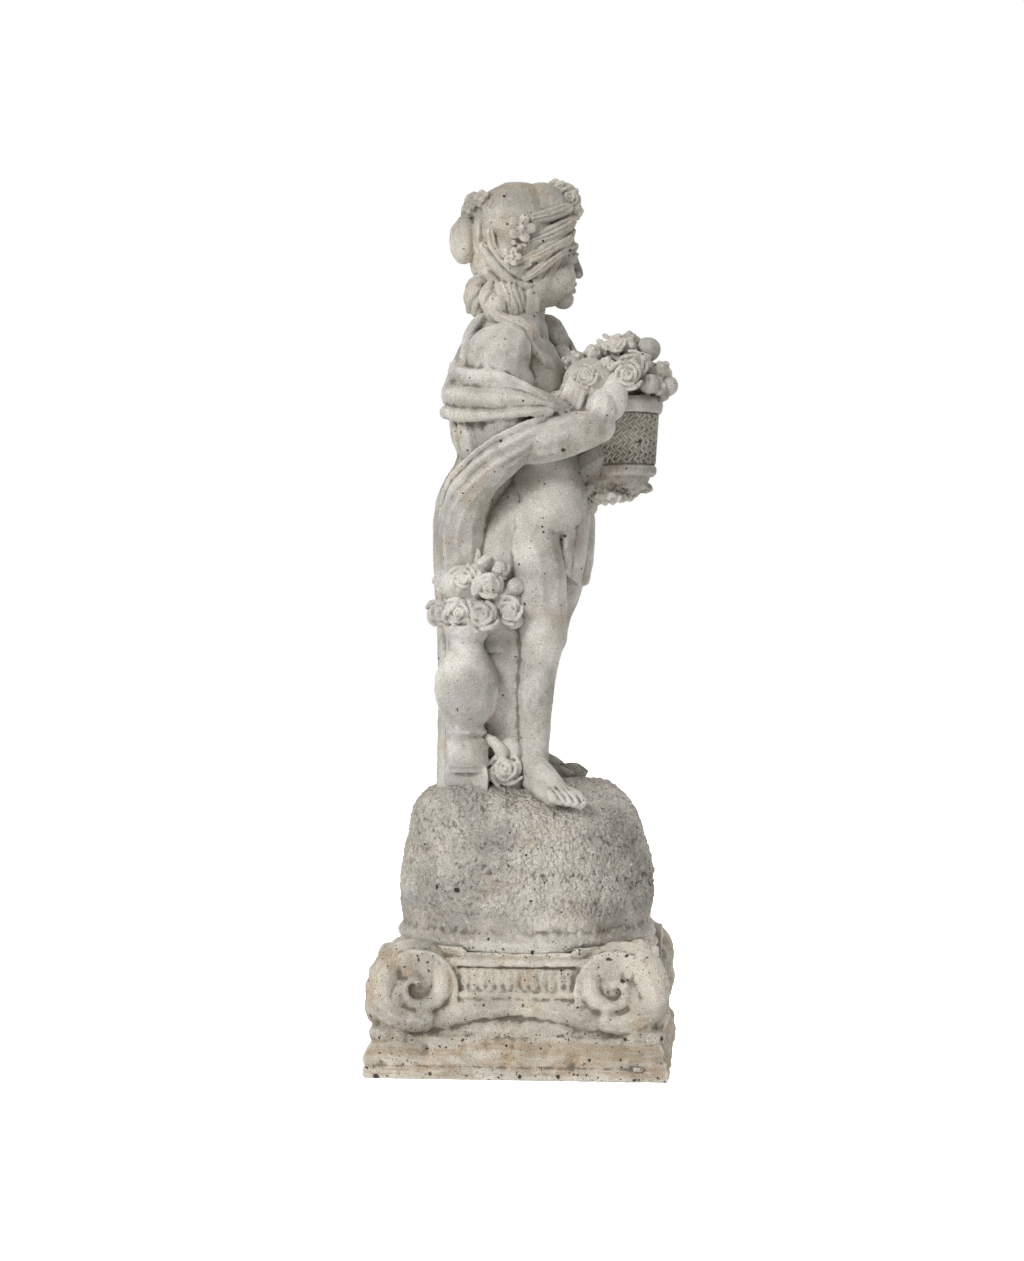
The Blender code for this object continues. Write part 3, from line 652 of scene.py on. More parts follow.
# %% [markdown]
# ## The rock
#
# She stands on a rough drum of rock with a domed top and a ring moulding at its foot. On the real casting
# the rock is stippled with a coarse tool: a scatter of small chips over broad lumps. The chips repeat over
# a surface, which is what Geometry Nodes does best: points are strewn on the faces with a fixed seed, and a
# small flattened stone is put on each. They are then pressed into the clay with everything else.

# %% Rock shape
def rock_profile():
    lift = 0.018
    steps = [
        (-0.02, MOUND_RADIUS - 0.001), (0.0, MOUND_RADIUS - 0.001), (0.45 * lift, MOUND_RADIUS + 0.004),
        (lift, MOUND_RADIUS - 0.003), (lift + 0.010, MOUND_RADIUS - 0.001),
        (0.36 * MOUND_HEIGHT, MOUND_RADIUS), (0.56 * MOUND_HEIGHT, MOUND_RADIUS - 0.003),
        (0.70 * MOUND_HEIGHT, MOUND_RADIUS - 0.008), (0.82 * MOUND_HEIGHT, MOUND_RADIUS * 0.90),
        (0.92 * MOUND_HEIGHT, MOUND_RADIUS * 0.80), (0.975 * MOUND_HEIGHT, MOUND_RADIUS * 0.66),
        (0.995 * MOUND_HEIGHT, MOUND_RADIUS * 0.44), (MOUND_HEIGHT, MOUND_RADIUS * 0.15),
    ]
    return [(z, 0, 0, r, r) for z, r in steps]


def slump(mesh):
    """Broad lumps, and a lower shoulder where her right foot steps down."""
    points, normals = read_points(mesh)
    share = (points[:, 2] - SEAT) / MOUND_HEIGHT
    fade = np.clip((share - 0.15) * 8, 0, 1) * np.clip((1.02 - share) * 6, 0, 1)
    lumps = np.array([noise.noise(Vector(p) * 24) for p in points])
    points += normals * (lumps * 0.0035 * fade)[:, None]
    slope = np.clip((-0.75 * points[:, 0] - 0.66 * points[:, 1] - 0.025) / 0.07, 0, 1)
    points[:, 2] -= 0.022 * slope * np.clip((share - 0.5) * 2, 0, 1)
    write_points(mesh, points)


rock_clay = Clay(Matrix.Translation((0, 0, SEAT)))
rock_clay.stack(rock_profile(), sides=96)
rock_clay.ball((-0.074, 0.054, MOUND_HEIGHT - 0.024), (0.030, 0.044, 0.024))
rock_clay.ball((0.0, 0.076, MOUND_HEIGHT - 0.028), (0.060, 0.030, 0.026))
rock_base = skinned(rock_clay.joined(), 0.004, 6)
slump(rock_base)
print("the rock starts as", len(rock_base.polygons), "faces")


# %% Chips strewn by Geometry Nodes
def scatter_group():
    inputs = [
        ("Geometry", GEOMETRY, None), ("Density", FLOAT, 22000.0), ("Smallest", FLOAT, 0.0010),
        ("Largest", FLOAT, 0.0030), ("Seed", "NodeSocketInt", 7), ("Material", MATERIAL, None),
    ]
    group = new_group("Strewn chips", inputs, [("Geometry", GEOMETRY)], "GeometryNodeTree")
    w = Wiring(group)
    given = w.add("NodeGroupInput").outputs
    strew = w.add("GeometryNodeDistributePointsOnFaces", Mesh=given["Geometry"], Seed=given["Seed"])
    w.feed(strew.inputs["Density"], given["Density"])
    pick = w.add("FunctionNodeRandomValue", Seed=given["Seed"])
    pick.data_type = "FLOAT"
    w.feed(pick.inputs[2], given["Smallest"])
    w.feed(pick.inputs[3], given["Largest"])
    size = pick.outputs[1]
    flat = w.add("ShaderNodeCombineXYZ", X=size, Y=size, Z=w.math("MULTIPLY", size, 0.5))
    spin = w.add("FunctionNodeRandomValue")
    spin.data_type = "FLOAT_VECTOR"
    w.feed(spin.inputs[0], (-0.3, -0.3, 0))
    w.feed(spin.inputs[1], (0.3, 0.3, 6.28))
    turn = w.add(
        "FunctionNodeRotateRotation", Rotation=strew.outputs["Rotation"],
        Rotate_By=spin.outputs["Value"],
    )
    turn.rotation_space = "LOCAL"
    chip = w.add("GeometryNodeMeshIcoSphere", Radius=1.0, Subdivisions=2)
    place = w.add(
        "GeometryNodeInstanceOnPoints", Points=strew.outputs["Points"], Instance=chip.outputs["Mesh"],
    )
    w.feed(place.inputs["Rotation"], turn.outputs["Rotation"])
    w.feed(place.inputs["Scale"], flat.outputs["Vector"])
    w.finish(place.outputs["Instances"], given["Material"])
    return group


def through_nodes(mesh, group, **values):
    """The plain mesh that a node group makes from a mesh."""
    obj = bpy.data.objects.new("work", mesh)
    bpy.context.scene.collection.objects.link(obj)
    modifier = obj.modifiers.new("nodes", "NODES")
    modifier.node_group = group
    for item in group.interface.items_tree:
        if item.in_out == "INPUT" and item.name in values:
            modifier[item.identifier] = values[item.name]
    graph = bpy.context.evaluated_depsgraph_get()
    found = bpy.data.meshes.new_from_object(obj.evaluated_get(graph))
    bpy.data.objects.remove(obj)
    return found


chips = through_nodes(rock_base, scatter_group(), Density=22000.0, Seed=7)
CHIP_FACES = 320
print(len(chips.polygons) // CHIP_FACES, "chips")


# %% The rock's skin
def stipple(mesh):
    def rough(points):
        share = (points[:, 2] - SEAT) / MOUND_HEIGHT
        return 0.25 + 0.75 * np.clip((share - 0.13) * 10, 0, 1)

    roughen(mesh, 0.0016, 60, rough, octaves=3)
    points, normals = read_points(mesh)
    bumps = np.array([noise.turbulence(Vector(p) * 190, 3, True) for p in points])
    points += normals * ((bumps - bumps.mean()) * 0.0016 * rough(points))[:, None]
    points[:, 2] = np.maximum(points[:, 2], SEAT)
    write_points(mesh, points)


def rock_lines(clay):
    """The long scars left by the trowel, and cracks."""
    clay.place = Matrix.Identity(4)
    for n in range(18):
        a = 2 * math.pi * (n * GOLDEN_TURN % 1)
        z = SEAT + MOUND_HEIGHT * (0.22 + 0.55 * ((n * 0.618) % 1))
        reach = 0.16 + 0.30 * ((n * 0.27) % 1)
        path = []
        for k in range(6):
            b = a + reach * (k / 5 - 0.5)
            sink = 0.004 * math.sin(k * 1.7 + n)
            path.append((MOUND_RADIUS * math.cos(b), MOUND_RADIUS * math.sin(b), z + sink))
        clay.score(*path, width=0.006 + 0.002 * (n % 3), depth=0.0015)
    crack = [(-MOUND_RADIUS, -0.030, z) for z in (0.150, 0.158, 0.166, 0.176)]
    clay.score(*[(x, y + 0.002 * math.sin(z * 900), z) for x, y, z in crack], width=0.0022, depth=0.0018)
    clay.score(
        (-0.060, -0.116, 0.225), (-0.075, -0.108, 0.221), (-0.088, -0.096, 0.216), width=0.0022,
        depth=0.002,
    )


clay = Clay(Matrix.Identity(4))
clay.add_mesh(rock_base)
clay.add_mesh(chips)
rock_lines(clay)
rock = cast("rock", clay, 0.00135, 1, 165000, ["statue"], stipple)

# %% [markdown]
# ## The figure
#
# Her body is made first and smoothed hard, because flesh has no creases. The cloth, hands and feet go on
# afterwards with little smoothing, so that their edges stay. Lengths are millimetres above the rock: she is
# 617 high.

# %% Flesh
def flesh():
    clay = Clay(FIGURE)
    torso = [
        (240, 0, -6, 44, 36), (262, 0, -14, 66, 45), (286, 0, -18, 67, 47), (310, 0, -16, 60, 45),
        (335, 0, -12, 55, 41), (365, 0, -7, 56, 40), (395, 0, -4, 59, 41), (420, 0, -1, 60, 38),
        (442, 0, 4, 51, 33), (458, 0, 8, 32, 25), (470, 0, 6, 24, 23),
    ]
    clay.stack(torso)
    clay.ball((0, -34, 294), (42, 31, 32))
    clay.ball((0, -36, 270), (32, 26, 24))
    clay.ball((0, -24, 408), (40, 20, 26))
    clay.roll((0, 8, 450, 26), (0, 4, 478, 23), (0, 0, 508, 24))
    clay.pair((-52, 14, 438, 25), (-65, 18, 430, 29), (-71, 19, 398, 25), (-75, 17, 345, 23))
    for s in (-1, 1):
        clay.ball((62 * s, 26, 424), (27, 33, 35))
        clay.ball((68 * s, 22, 400), (27, 36, 26))
        clay.ball((58 * s, 40, 350), (27, 32, 34))
    clay.pair((-76, 14, 338, 22), (-75, -22, 341, 24), (-68, -56, 350, 22), (-58, -76, 357, 19))
    clay.roll(
        (-33, 4, 262, 33), (-37, -4, 240, 32), (-39, -10, 222, 31), (-40, -14, 200, 30.5),
        (-41, -16, 178, 29), (-41.5, -18, 158, 27), (-42, -18.5, 145, 25.5), (-42, -16, 128, 22.5),
        (-42, -12.5, 105, 21), (-43, -11, 82, 20), (-43, -10.5, 60, 18), (-44, -10.5, 36, 16.5),
        (-45, -9, -2, 15),
    )
    clay.ball((-42, -7, 98), (19, 14, 32))
    clay.ball((-40, -36, 146), (13, 9, 15))
    clay.roll(
        (34, -18, 262, 40), (39, -25, 238, 37), (41, -26, 215, 34), (41, -22, 194, 32),
        (41, -16.5, 173, 29), (41, -13, 150, 26), (41, -8, 116, 22), (42, -6, 80, 18.5),
        (42, -6, 34, 15), (42, -4, 10, 14),
    )
    clay.ball((40, -32, 148), (12, 8, 14))
    return skinned(clay.joined(), 0.0030, 9)


flesh_mesh = flesh()
print("the bare body has", len(flesh_mesh.polygons), "faces")

# %% Hands and feet
def foot(clay, where):
    clay = clay.at(where)
    clay.ball((0, 4, 8), (14, 14, 14))
    clay.roll((0, -2, 20, 15), (0, -20, 15, 15), (1, -38, 9, 13), (2, -52, 3, 10))
    clay.roll((-6, -10, 6, 10), (-9, -34, 3, 10), (-9, -50, 0, 9))
    clay.roll((7, -12, 6, 9), (10, -36, 4, 10), (11, -52, 1, 9))
    toes = [(11, 73, 7.4), (2.8, 72, 5.6), (-3.6, 69, 5.2), (-9.6, 65, 4.9), (-15, 60, 4.5)]
    for across, length, r in toes:
        clay.roll(
            (across * 0.85, -50, 6, r * 0.9), (across * 0.95, -length + 9, 7, r * 0.88),
            (across, -length + 2, 2, r),
        )
        clay.ball((across, -length - r * 0.55, 3.2), (r * 0.5, r * 0.42, r * 0.34), (-24, 0, 0))
    for left, right in zip(toes, toes[1:]):
        across = (left[0] + right[0]) / 2
        toe_gap = (across * 0.9, -50, 12), (across, -right[1], 8), (across, -right[1] - 7, 3)
        clay.score(*toe_gap, width=2.6, depth=2.4)


def hand(clay, s):
    """A hand laid along the basket's side, its fingers over the rim. s is -1 for her right hand."""
    clay.roll((60 * s, -72, 356, 19), (57 * s, -78, 372, 17.5), (50 * s, -78, 388, 14))
    clay.ball((46 * s, -82, 386), (11, 19, 14))
    for n in range(4):
        y = -62 - 9.5 * n
        lift = 5 * math.sin(math.pi * (n + 0.6) / 4)
        clay.roll(
            (46 * s, y - 3, 382 + lift, 6.6), (42 * s, y - 6, 396 + lift, 6.2),
            (36 * s, y - 8, 405 + lift, 5.7), (26 * s, y - 9, 404 + lift, 5.2),
        )
    for n in range(3):
        y = -62 - 9.5 * n - 4.7
        clay.score((52 * s, y - 3, 386), (48 * s, y - 6, 399), (39 * s, y - 8, 412), width=2.4, depth=1.8)
    clay.roll(
        (48 * s, -60, 374, 8.5), (42 * s, -54, 388, 7.5), (34 * s, -52, 398, 6.5),
        (25 * s, -58, 403, 5.5),
    )


print("a foot has five toes, and a hand four fingers and a thumb")

# %% [markdown]
# ## The cloth
#
# One long cloth hangs down her back, wraps both upper arms, crosses each forearm and falls behind, and its
# end covers her lap. Real cloth is pulled between the places that hold it, so each part is a sheet laid
# between paths that run side by side. Folds swell out of the sheet with round backs and sharp valleys.
# Rolls laid in a row would look like ropes. The back is a thick wall of gathers that carries the casting's
# weight.

# %% Back of the cloth
def gathers(a, z):
    behind = max(0.0, math.sin(a))
    fall = min(1.0, max(0.0, (330 - z) / 120))
    return 0.05 * behind * fall * (math.cos(9 * a + 0.012 * z) + 0.35 * math.cos(17 * a - 0.02 * z))


def cloth_wall(clay):
    fall = [
        (-24, 2, 58, 70, 36), (40, 2, 57, 68, 34), (100, 2, 57, 63, 33), (160, 2, 55, 61, 37),
        (220, 2, 51, 63, 43), (268, 2, 48, 66, 47), (300, 2, 42, 68, 46), (328, 2, 33, 70, 39),
        (350, 2, 32, 75, 46), (374, 2, 33, 82, 48), (392, 2, 32, 86, 56), (408, 2, 30, 84, 54),
        (432, 2, 27, 74, 47), (450, 2, 22, 60, 44), (466, 2, 18, 42, 38), (478, 2, 16, 28, 28),
    ]
    clay.stack(fall, ripple=gathers, sides=160)
    clay.stack([(-20, 2, 28, 50, 22), (90, 2, 30, 50, 26), (190, 2, 26, 54, 26), (250, 2, 24, 50, 20)])
    for n in range(7):
        x = -42 + 13 * n
        clay.roll(
            (x * 0.7, 4 + 2 * (n % 2), 236, 4),
            (x * 0.9, 3, 160, 5),
            (x, 4 - 2 * (n % 2), 80, 5.5),
            (x * 1.05, 4, -6, 6),
        )


# %% Wraps, edges and the band over the forearm
WRAP = [
    [(-58, 70, 426), (-82, 52, 414), (-96, 22, 410), (-97, -8, 397), (-88, -30, 382), (-66, -56, 372)],
    [(-54, 80, 398), (-86, 60, 391), (-102, 28, 385), (-102, 0, 383), (-91, -28, 377), (-66, -56, 368)],
    [(-50, 83, 374), (-82, 63, 366), (-98, 29, 363), (-99, -8, 366), (-88, -30, 370), (-66, -56, 364)],
]
BAND = [
    [(-66, -50, 370), (-90, -20, 364), (-99, 8, 353), (-98, 34, 338), (-88, 58, 319), (-72, 76, 299)],
    [(-80, -44, 356), (-98, -17, 347), (-105, 6, 334), (-104, 31, 320), (-97, 54, 300), (-82, 70, 278)],
    [(-80, -38, 342), (-95, -14, 329), (-100, 4, 316), (-98, 27, 300), (-92, 47, 280), (-82, 60, 258)],
]
BAND[0] += [(-54, 84, 262), (-36, 85, 190), (-32, 85, 100), (-32, 85, 5)]
BAND[1] += [(-68, 77, 243), (-54, 78, 180), (-50, 78, 98), (-50, 78, 3)]
BAND[2] += [(-72, 64, 222), (-67, 64, 172), (-66, 64, 96), (-66, 64, 2)]


def ridge(x):
    """One round-backed fold for each unit of x, with a sharp valley between."""
    return 2 * abs(math.sin(math.pi * x)) - 1.2


def wrap_folds(t, u):
    return (3.6 - 2.4 * t) * ridge(2.3 * u + 0.25 * t + 0.1)


def band_folds(t, u):
    return (0.8 + 2.4 * min(1.0, 1.7 * t)) * ridge(3.1 * u + 0.5 * t + 0.2)


def lap_folds(t, u):
    return (1.0 + 1.6 * t) * ridge(3.5 * u + 0.25)


def cloth_wraps(clay):
    for edges, thickness, folds in ((WRAP, 13, wrap_folds), (BAND, 15, band_folds)):
        clay.sheet(edges, thickness, folds)
        clay.sheet([[(-x, y, z) for x, y, z in edge] for edge in edges], thickness, folds)
    clay.pair(
        (-44, 68, 392, 14), (-72, 50, 391, 15), (-84, 14, 389, 15), (-79, -14, 380, 14),
        (-66, -40, 372, 11),
    )
    clay.pair(
        (-52, 78, 372, 7), (-83, 60, 366, 7), (-96, 28, 365, 6), (-96, -4, 368, 5), (-84, -30, 369, 4),
    )
    clay.roll((-70, 58, 404, 6), (-66, 57, 430, 6), (-52, 54, 450, 6), (-34, 47, 466, 6), (-10, 43, 474, 6))
    for shift, r in [(0, 7), (9, 5), (17, 7)]:
        clay.roll(
            (10 + shift, 42, 477, r), (34 + shift, 12, 483 - 0.5 * shift, r),
            (44 + shift, -20, 470 - 0.5 * shift, r), (41 + shift, -40, 447, r),
            (28 + shift, -49, 421, r), (8 + shift, -50, 396, r * 0.8),
        )
    clay.ball((36, -16, 442), (27, 27, 40))
    clay.ball((26, -28, 415), (27, 24, 36))
    clay.stack([(376, 70, 10, 24, 44), (400, 72, 8, 26, 44), (430, 64, 8, 28, 38), (456, 48, 10, 20, 30)])
    clay.pair(
        (-78, -20, 350, 14), (-86, 14, 322, 17), (-78, 44, 296, 20), (-58, 60, 256, 24),
        (-46, 60, 200, 24),
    )
    for s in (-1, 1):
        clay.score((80 * s, 52, 366), (85 * s, 47, 345), (80 * s, 44, 326), width=7, depth=3)
        clay.score((66 * s, 70, 368), (72 * s, 67, 345), (66 * s, 64, 322), width=7, depth=3)


LAP = [
    [(-37, -34, 286), (-39, -40, 262), (-37, -41, 238), (-33, -38, 214)],
    [(-22, -56, 282), (-22, -56, 258), (-21, -53, 230), (-18, -49, 204)],
    [(0, -67, 277), (0, -66, 254), (-1, -63, 224), (-2, -57, 196)],
    [(20, -65, 282), (21, -68, 258), (20, -67, 230), (17, -63, 204)],
    [(42, -50, 288), (46, -58, 262), (45, -60, 238), (40, -58, 214)],
]


def side_cloth(clay):
    """The cloth behind her right leg, the swell under the puff at her wrist and the cloth over her lap."""
    clay.stack([
        (-20, -36, 24, 19, 30), (60, -36, 22, 19, 32), (150, -37, 20, 19, 33), (225, -38, 22, 20, 30),
    ])
    clay.box((-40, -12, -18), (-24, 46, 240))
    hip = [
        (130, -36, 28, 22, 24), (180, -38, 28, 25, 28), (220, -40, 27, 26, 32), (250, -41, 20, 26, 32),
        (275, -40, 12, 24, 27), (290, -38, 8, 20, 20), (300, -38, 6, 13, 13), (306, -38, 6, 3, 3),
    ]
    clay.stack(hip)
    clay.ball((-42, -64, 390), (22, 28, 28))
    clay.ball((-46, -84, 386), (17, 22, 26))
    clay.ball((-44, -44, 378), (25, 26, 17))
    for n in range(4):
        y = -38 - 6 * n
        clay.roll((-68, y, 372, 4), (-66 + n, y - 6, 388 + 2 * n, 4.5), (-56 + n, y - 12, 404 + 4 * n, 4))
    clay.sheet(LAP, 15, lap_folds)


print("the cloth has", len(WRAP) + len(BAND) + len(LAP), "guiding paths")

# %% Figure
clay = Clay(FIGURE)
clay.add_mesh(flesh_mesh)
hand(clay, -1)
hand(clay, 1)
foot(clay, Matrix.Translation((-46, -5, -3)) @ turned((15, 0, -45)) @ Matrix.Scale(0.96, 4))
foot(clay, Matrix.Translation((42, 13, 1)) @ Matrix.Scale(0.92, 4))
cloth_wall(clay)
cloth_wraps(clay)
side_cloth(clay)
clay.score((0, -66, 300), (0, -66, 296), width=4.0, depth=3.5)
figure = cast(
    "figure_and_cloth", clay, 0.0014, 4, 180000, ["statue"], lambda mesh: roughen(
        mesh, 0.0006, 90,
    )
)

# %% [markdown]
# ## Head, hair and wreath
#
# The face is a calm one, laid out by the usual proportions: eyes halfway up the head, the nose half way
# from there to the chin. Her hair is swept back in waves to a bun, so every lock starts at the hairline and
# ends there. A lock is a bundle of strands laid round one path.

# %% Face
def face(clay):
    clay.ball((0, 4, 62), (43, 48, 45))
    clay.ball((0, -18, 58), (38, 32, 36))
    clay.ball((0, -18, 30), (35, 32, 36))
    clay.ball((0, -34, 20), (21, 16, 18))
    clay.ball((0, -38, 3), (13, 11, 10))
    clay.roll((0, 8, -30, 23), (0, 4, -6, 23), (0, 0, 20, 24))
    clay.roll((-20, -38, 57, 5), (0, -45, 59, 5), (20, -38, 57, 5))
    for s in (-1, 1):
        clay.ball((19 * s, -30, 22), (17, 17, 18))
        clay.ball((14.5 * s, -41, 44), (9, 8.5, 7.5))
        clay.roll((6 * s, -48, 53, 2.6), (16 * s, -48, 57, 3), (27 * s, -40, 53, 2.6))
        clay.roll((7 * s, -47.5, 45, 1.1), (15 * s, -50, 48, 1.5), (23 * s, -45, 45, 1.1))
        clay.roll((7 * s, -47.5, 42, 0.9), (15 * s, -49, 39, 1.2), (23 * s, -44, 42, 0.9))
        clay.ball((5 * s, -51, 29), (4.2, 4.5, 3.4))
    clay.roll((0, -47, 56, 4.5), (0, -50, 44, 4.4), (0, -53, 35, 4.8), (0, -54, 30, 5))
    clay.roll(
        (-10, -45, 17, 2), (-4, -49, 19, 2.8), (0, -49.4, 18.2, 2.6), (4, -49, 19, 2.8),
        (10, -45, 17, 2),
    )
    clay.roll((-8, -45, 14, 2), (0, -48.6, 12.4, 3.2), (8, -45, 14, 2))
    clay.score((-10, -47.5, 16), (0, -52, 16), (10, -47.5, 16), width=1.7, depth=1.0)


# %% Hair
def on_hair(s, y, z, lift=0.0):
    """A point on the side of the hair, s being -1 for her right side."""
    fall = 1 - (abs(y - 8) / 56) ** 4 - ((z - 67) / 60) ** 2
    return (s * (lift + 45 * math.sqrt(max(0.04, fall))), y, z)


def wave(clay, s, path, furrows=2):
    """A puffy wave of hair laid on the head, with furrows between its strands."""
    clay.roll(*[(*on_hair(s, y, z, -0.25 * r), r) for y, z, r in path])
    for n in range(furrows):
        shift = (n + 0.5) / furrows - 0.5
        line = [on_hair(s, y, z + 1.5 * shift * r, 0.62 * r) for y, z, r in path]
        clay.score(*line, width=2.2, depth=1.6)


WAVES = [
    [(-44, 97, 4), (-32, 90, 6), (-16, 83, 7), (2, 78, 6)],
    [(-47, 86, 4), (-37, 76, 7), (-22, 67, 8), (-6, 60, 7), (6, 56, 5)],
    [(-43, 70, 3.5), (-33, 60, 7), (-18, 51, 8), (-3, 43, 7), (9, 38, 5)],
    [(-36, 54, 3), (-27, 46, 6), (-14, 36, 7), (-3, 27, 6), (8, 21, 5)],
    [(-26, 38, 3), (-17, 27, 5), (-9, 17, 5.5), (0, 9, 4)],
    [(-4, 19, 4), (10, 15, 5.5), (27, 22, 6.5), (42, 36, 6.5), (52, 50, 5)],
    [(-2, 9, 3), (12, 5, 5), (30, 12, 6), (46, 26, 6)],
    [(6, 34, 4), (20, 29, 5), (34, 36, 5.5), (43, 50, 5), (46, 64, 4)],
]


def hair(clay):
    clay.ball((0, 10, 69), (46, 51, 54))
    clay.ball((0, 8, 67), (48.5, 47, 49))
    clay.ball((0, 24, 46), (44, 36, 38))
    clay.ball((0, -14, 82), (40, 33, 41))
    clay.ball((0, 28, 44), (40, 32, 34))
    for s in (-1, 1):
        for path in WAVES:
            wave(clay, s, path)
    for n in range(9):
        x = 8 * (n - 4)
        fall = abs(x) * 0.2
        clay.score((x * 0.6, -36, 112), (x, -10, 121 - fall), (x, 24, 117 - fall), width=2.5, depth=0.7)


def bun_and_ringlets(clay):
    clay.ball((0, 66, 61), (23, 15, 24.5))
    for n in range(7):
        x = 7 * (n - 3)
        clay.score((x * 0.5, 74, 83), (x * 1.2, 81, 61), (x * 0.5, 75, 39), width=3.2, depth=2.2)
    for s in (-1, 1):
        clay.lock(
            (6 * s, 46, 90, 5), (17 * s, 52, 78, 6), (21 * s, 54, 60, 6), (16 * s, 50, 40, 6),
            side=(s, 0, 0),
        )
    clay.lock(
        (-2, 42, 24, 8), (-5, 54, 14, 10), (-7, 57, 0, 10), (-5, 53, -14, 6), side=(1, 0, 0),
        twist=0.35,
    )
    clay.lock((12, 42, 18, 8), (20, 52, 6, 9), (20, 53, -8, 7), side=(1, 0, 0), twist=0.35)
    clay.lock((-18, 40, 12, 7), (-24, 48, 2, 7), (-24, 47, -10, 5), side=(1, 0, 0), twist=0.3)
    clay.ball((-14, 26, -4), (20, 23, 30))
    clay.ball((-22, 36, -12), (15, 14, 20))
    for n in range(5):
        line = []
        for z in (16, 6, -6 - 2 * (n % 3), -14 - 5 * (n % 2)):
            y = 40 - 6 * n - 0.3 * (14 - z) + 1.5 * math.sin(0.3 * z + 2 * n)
            inside = 1 - ((y - 26) / 23) ** 2 - ((z + 4) / 30) ** 2
            line.append((-14 - 20 * math.sqrt(max(0.05, inside)), y, z))
        clay.score(*line, width=3.4 - 0.6 * (n % 2), depth=1.1)
    shoulder_lock = (-24, 42, -10, 6), (-38, 36, -22, 6.5), (
        -52, 22, -29, 6.5,
    ), (-60, 9, -37, 5.5), (-57, 12, -49, 4)
    clay.lock(*shoulder_lock, twist=0.1)
    clay.lock((-55, 12, -44, 4), (-58, 4, -56, 4.5), (-55, -6, -66, 4), (-51, -4, -76, 3), twist=0.2)


print(len(WAVES), "waves of hair on each side")

# %% Wreath
def wreath(clay):
    clay.ball((0, -38, 103), (16, 16, 20))
    blossoms(clay, (0, -40, 108), 14, 4.4, 30)
    blossoms(clay, (0, -32, 117), 9, 3.6, 18)
    blossoms(clay, (-2, -50, 94), 8, 3.2, 16)
    rose(clay, facing((-13, -40, 106), (-1, -0.35, 0.15)), 14, 1)
    rose(clay, facing((13, -40, 104), (1, -0.4, 0.15)), 13, 2)
    for s in (-1, 1):
        open_flower(clay, facing(on_hair(s, 15.5, 67, 5.0), (s, 0.05, 0.1)), 15)
        open_flower(clay, facing(on_hair(s, 24.5, 39, 6.0), (s, 0.15, -0.1)), 10)
        for y, z in ((17, 49), (12, 51), (23, 53)):
            clay.ball(on_hair(s, y, z, 4), (3, 3, 3))
        blossoms(clay, (15 * s, 48, 101), 8, 3.4, 16)
        rose(clay, facing((26 * s, 44, 92), (s, 0.8, 0.5)), 8, 3)
    blossoms(clay, (0, 53, 99), 10, 4, 20)
    blossoms(clay, (-4, 60, 90), 7, 3.4, 16)


clay = Clay(FIGURE @ Matrix.Translation((0, 0, 490)) @ turned((0, 0, 16)))
face(clay)
hair(clay)
bun_and_ringlets(clay)
wreath(clay)
head = cast(
    "head_and_hair", clay, 0.0009, 2, 160000, ["statue"], lambda mesh: roughen(
        mesh, 0.0005, 120,
    )
)

# %% [markdown]
# ## The basket
#
# The basket's wall is woven on the slant: one set of canes climbs to the left, the other to the right, and
# each passes over and under the other. Since they cross at even heights, a cane only has to swell in and
# out as it climbs, and the two sets do so in opposite step. Geometry Nodes draws one cane as a spiral and
# repeats it round the wall.

